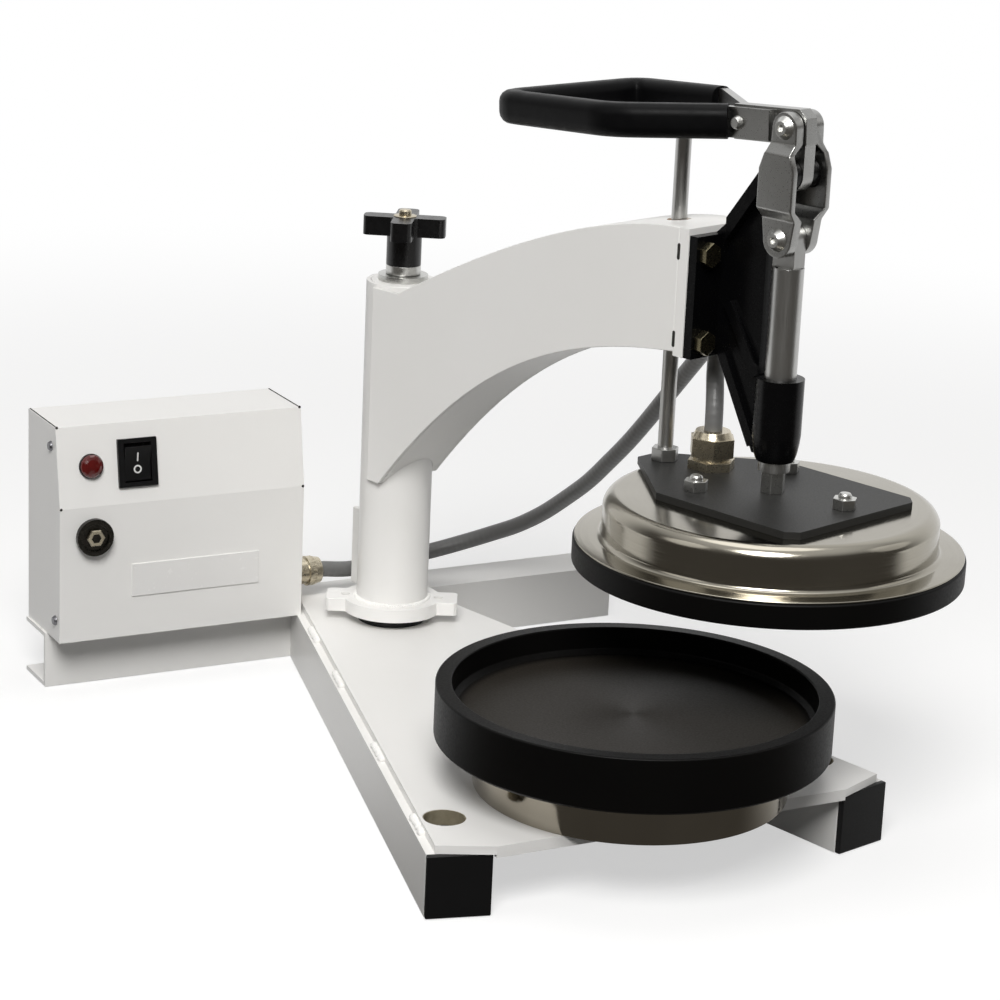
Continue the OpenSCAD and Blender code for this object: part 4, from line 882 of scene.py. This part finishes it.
def mixShaders(tree, factor, first, second):
    return addNode(tree, "ShaderNodeMixShader", {0: factor, 1: first.outputs[0], 2: second.outputs[0]})


def seenDirectly(tree, path):
    return addNode(tree, "ShaderNodeMath", {0: path["Is Camera Ray"], 1: path["Is Transmission Ray"]},
                   operation="MAXIMUM").outputs[0]


# Pale floor, white to the eye, that keeps the shadow near the press: metres, and levels of grey
paperFloor = {"reach": 14.0, "sides": 32, "y": 0.15, "drop": 0.0004, "fade": (0.6, 1.8), "mirror": (-0.22, 0.05),
              "paper": 0.5, "glow": 0.56, "bounce": 0.16}


def makeFloor(c):
    material = bpy.data.materials.new("paperSweep")
    material.use_nodes = True
    tree = material.node_tree
    tree.nodes.clear()
    coords = addNode(tree, "ShaderNodeTexCoord").outputs["Object"]
    path = addNode(tree, "ShaderNodeLightPath").outputs
    away = addNode(tree, "ShaderNodeVectorMath", {0: coords}, operation="LENGTH").outputs["Value"]
    paper = addNode(tree, "ShaderNodeBsdfDiffuse", {"Color": (c["paper"],) * 3 + (1,)})
    glow = addNode(tree, "ShaderNodeEmission", {"Color": whiteLight, "Strength": c["glow"]})
    near = addNode(tree, "ShaderNodeAddShader", {0: paper.outputs[0], 1: glow.outputs[0]})
    white = addNode(tree, "ShaderNodeEmission", {"Color": whiteLight, "Strength": 1.0})
    room = addNode(tree, "ShaderNodeEmission", {"Color": roomShade, "Strength": 1.0})
    bounce = addNode(tree, "ShaderNodeBsdfDiffuse", {"Color": (c["bounce"],) * 3 + (1,)})
    shown = mixShaders(tree, fade(tree, away, c["fade"]), near, white)
    mirrored = mixShaders(tree, fade(tree, towardsBackdrop(tree, coords), c["mirror"]), room, shown)
    unseen = mixShaders(tree, path["Is Glossy Ray"], bounce, mirrored)
    both = mixShaders(tree, seenDirectly(tree, path), unseen, shown)
    addNode(tree, "ShaderNodeOutputMaterial", {"Surface": both.outputs[0]})
    angles = [2 * math.pi * k / c["sides"] for k in range(c["sides"])]
    mesh = bpy.data.meshes.new("floor")
    mesh.from_pydata([(c["reach"] * math.cos(a), c["reach"] * math.sin(a), 0) for a in angles], [],
                     [list(range(c["sides"]))])
    mesh.materials.append(material)
    floor = addPiece("floor", mesh)
    floor.location = (0.0, c["y"], cadBox[0].z - c["drop"])


makeFloor(paperFloor)

# Plain studio light: broad lamps round the press, in metres and watts, all turned to one point
lamps = {
    "key": {"place": (-1.2, -1.75, 2.35), "size": 1.5, "power": 90.0},
    "fill": {"place": (2.1, -0.9, 1.5), "size": 1.4, "power": 3.0},
    "top": {"place": (0.1, 0.3, 2.7), "size": 1.8, "power": 14.0},
    "left": {"place": (-2.2, 0.2, 1.5), "size": 1.4, "power": 5.0},
}
lampTint = (1.0, 0.992, 0.98)
aim = Vector((-0.01, 0.17, 0.16))
for name, lamp in lamps.items():
    data = bpy.data.lights.new(name, "AREA")
    data.shape = "DISK"
    data.size = lamp["size"]
    data.energy = lamp["power"]
    data.color = lampTint
    light = bpy.data.objects.new(name, data)
    light.location = lamp["place"]
    light.rotation_euler = (aim - Vector(lamp["place"])).to_track_quat("-Z", "Y").to_euler()
    scene.collection.objects.link(light)

# Room: white to the eye, white behind the press and overhead in the metal, darker behind the camera
roomLight = {"level": 0.09, "behind": (0.0, 0.7), "above": (0.45, 0.95), "aboveShare": 0.85}


def makeRoom(c):
    world = bpy.data.worlds.new("room")
    scene.world = world
    world.use_nodes = True
    tree = world.node_tree
    tree.nodes.clear()
    way = addNode(tree, "ShaderNodeTexCoord").outputs["Generated"]
    path = addNode(tree, "ShaderNodeLightPath").outputs
    height = addNode(tree, "ShaderNodeSeparateXYZ", {0: way}).outputs[2]
    behind = fade(tree, towardsBackdrop(tree, way), c["behind"])
    above = fade(tree, height, c["above"], (0.0, c["aboveShare"]))
    pale = addNode(tree, "ShaderNodeMath", {0: behind, 1: above}, operation="MAXIMUM").outputs[0]
    shade = mixColours(tree, pale, roomShade, whiteLight)
    even = addNode(tree, "ShaderNodeBackground", {"Color": lampTint + (1,), "Strength": c["level"]})
    mirrored = addNode(tree, "ShaderNodeBackground", {"Color": shade, "Strength": 1.0})
    white = addNode(tree, "ShaderNodeBackground", {"Color": whiteLight, "Strength": 1.0})
    unseen = mixShaders(tree, path["Is Glossy Ray"], even, mirrored)
    both = mixShaders(tree, seenDirectly(tree, path), unseen, white)
    addNode(tree, "ShaderNodeOutputWorld", {"Surface": both.outputs[0]})


makeRoom(roomLight)
scene.view_settings.view_transform = "Standard"
print("floor and lights set")
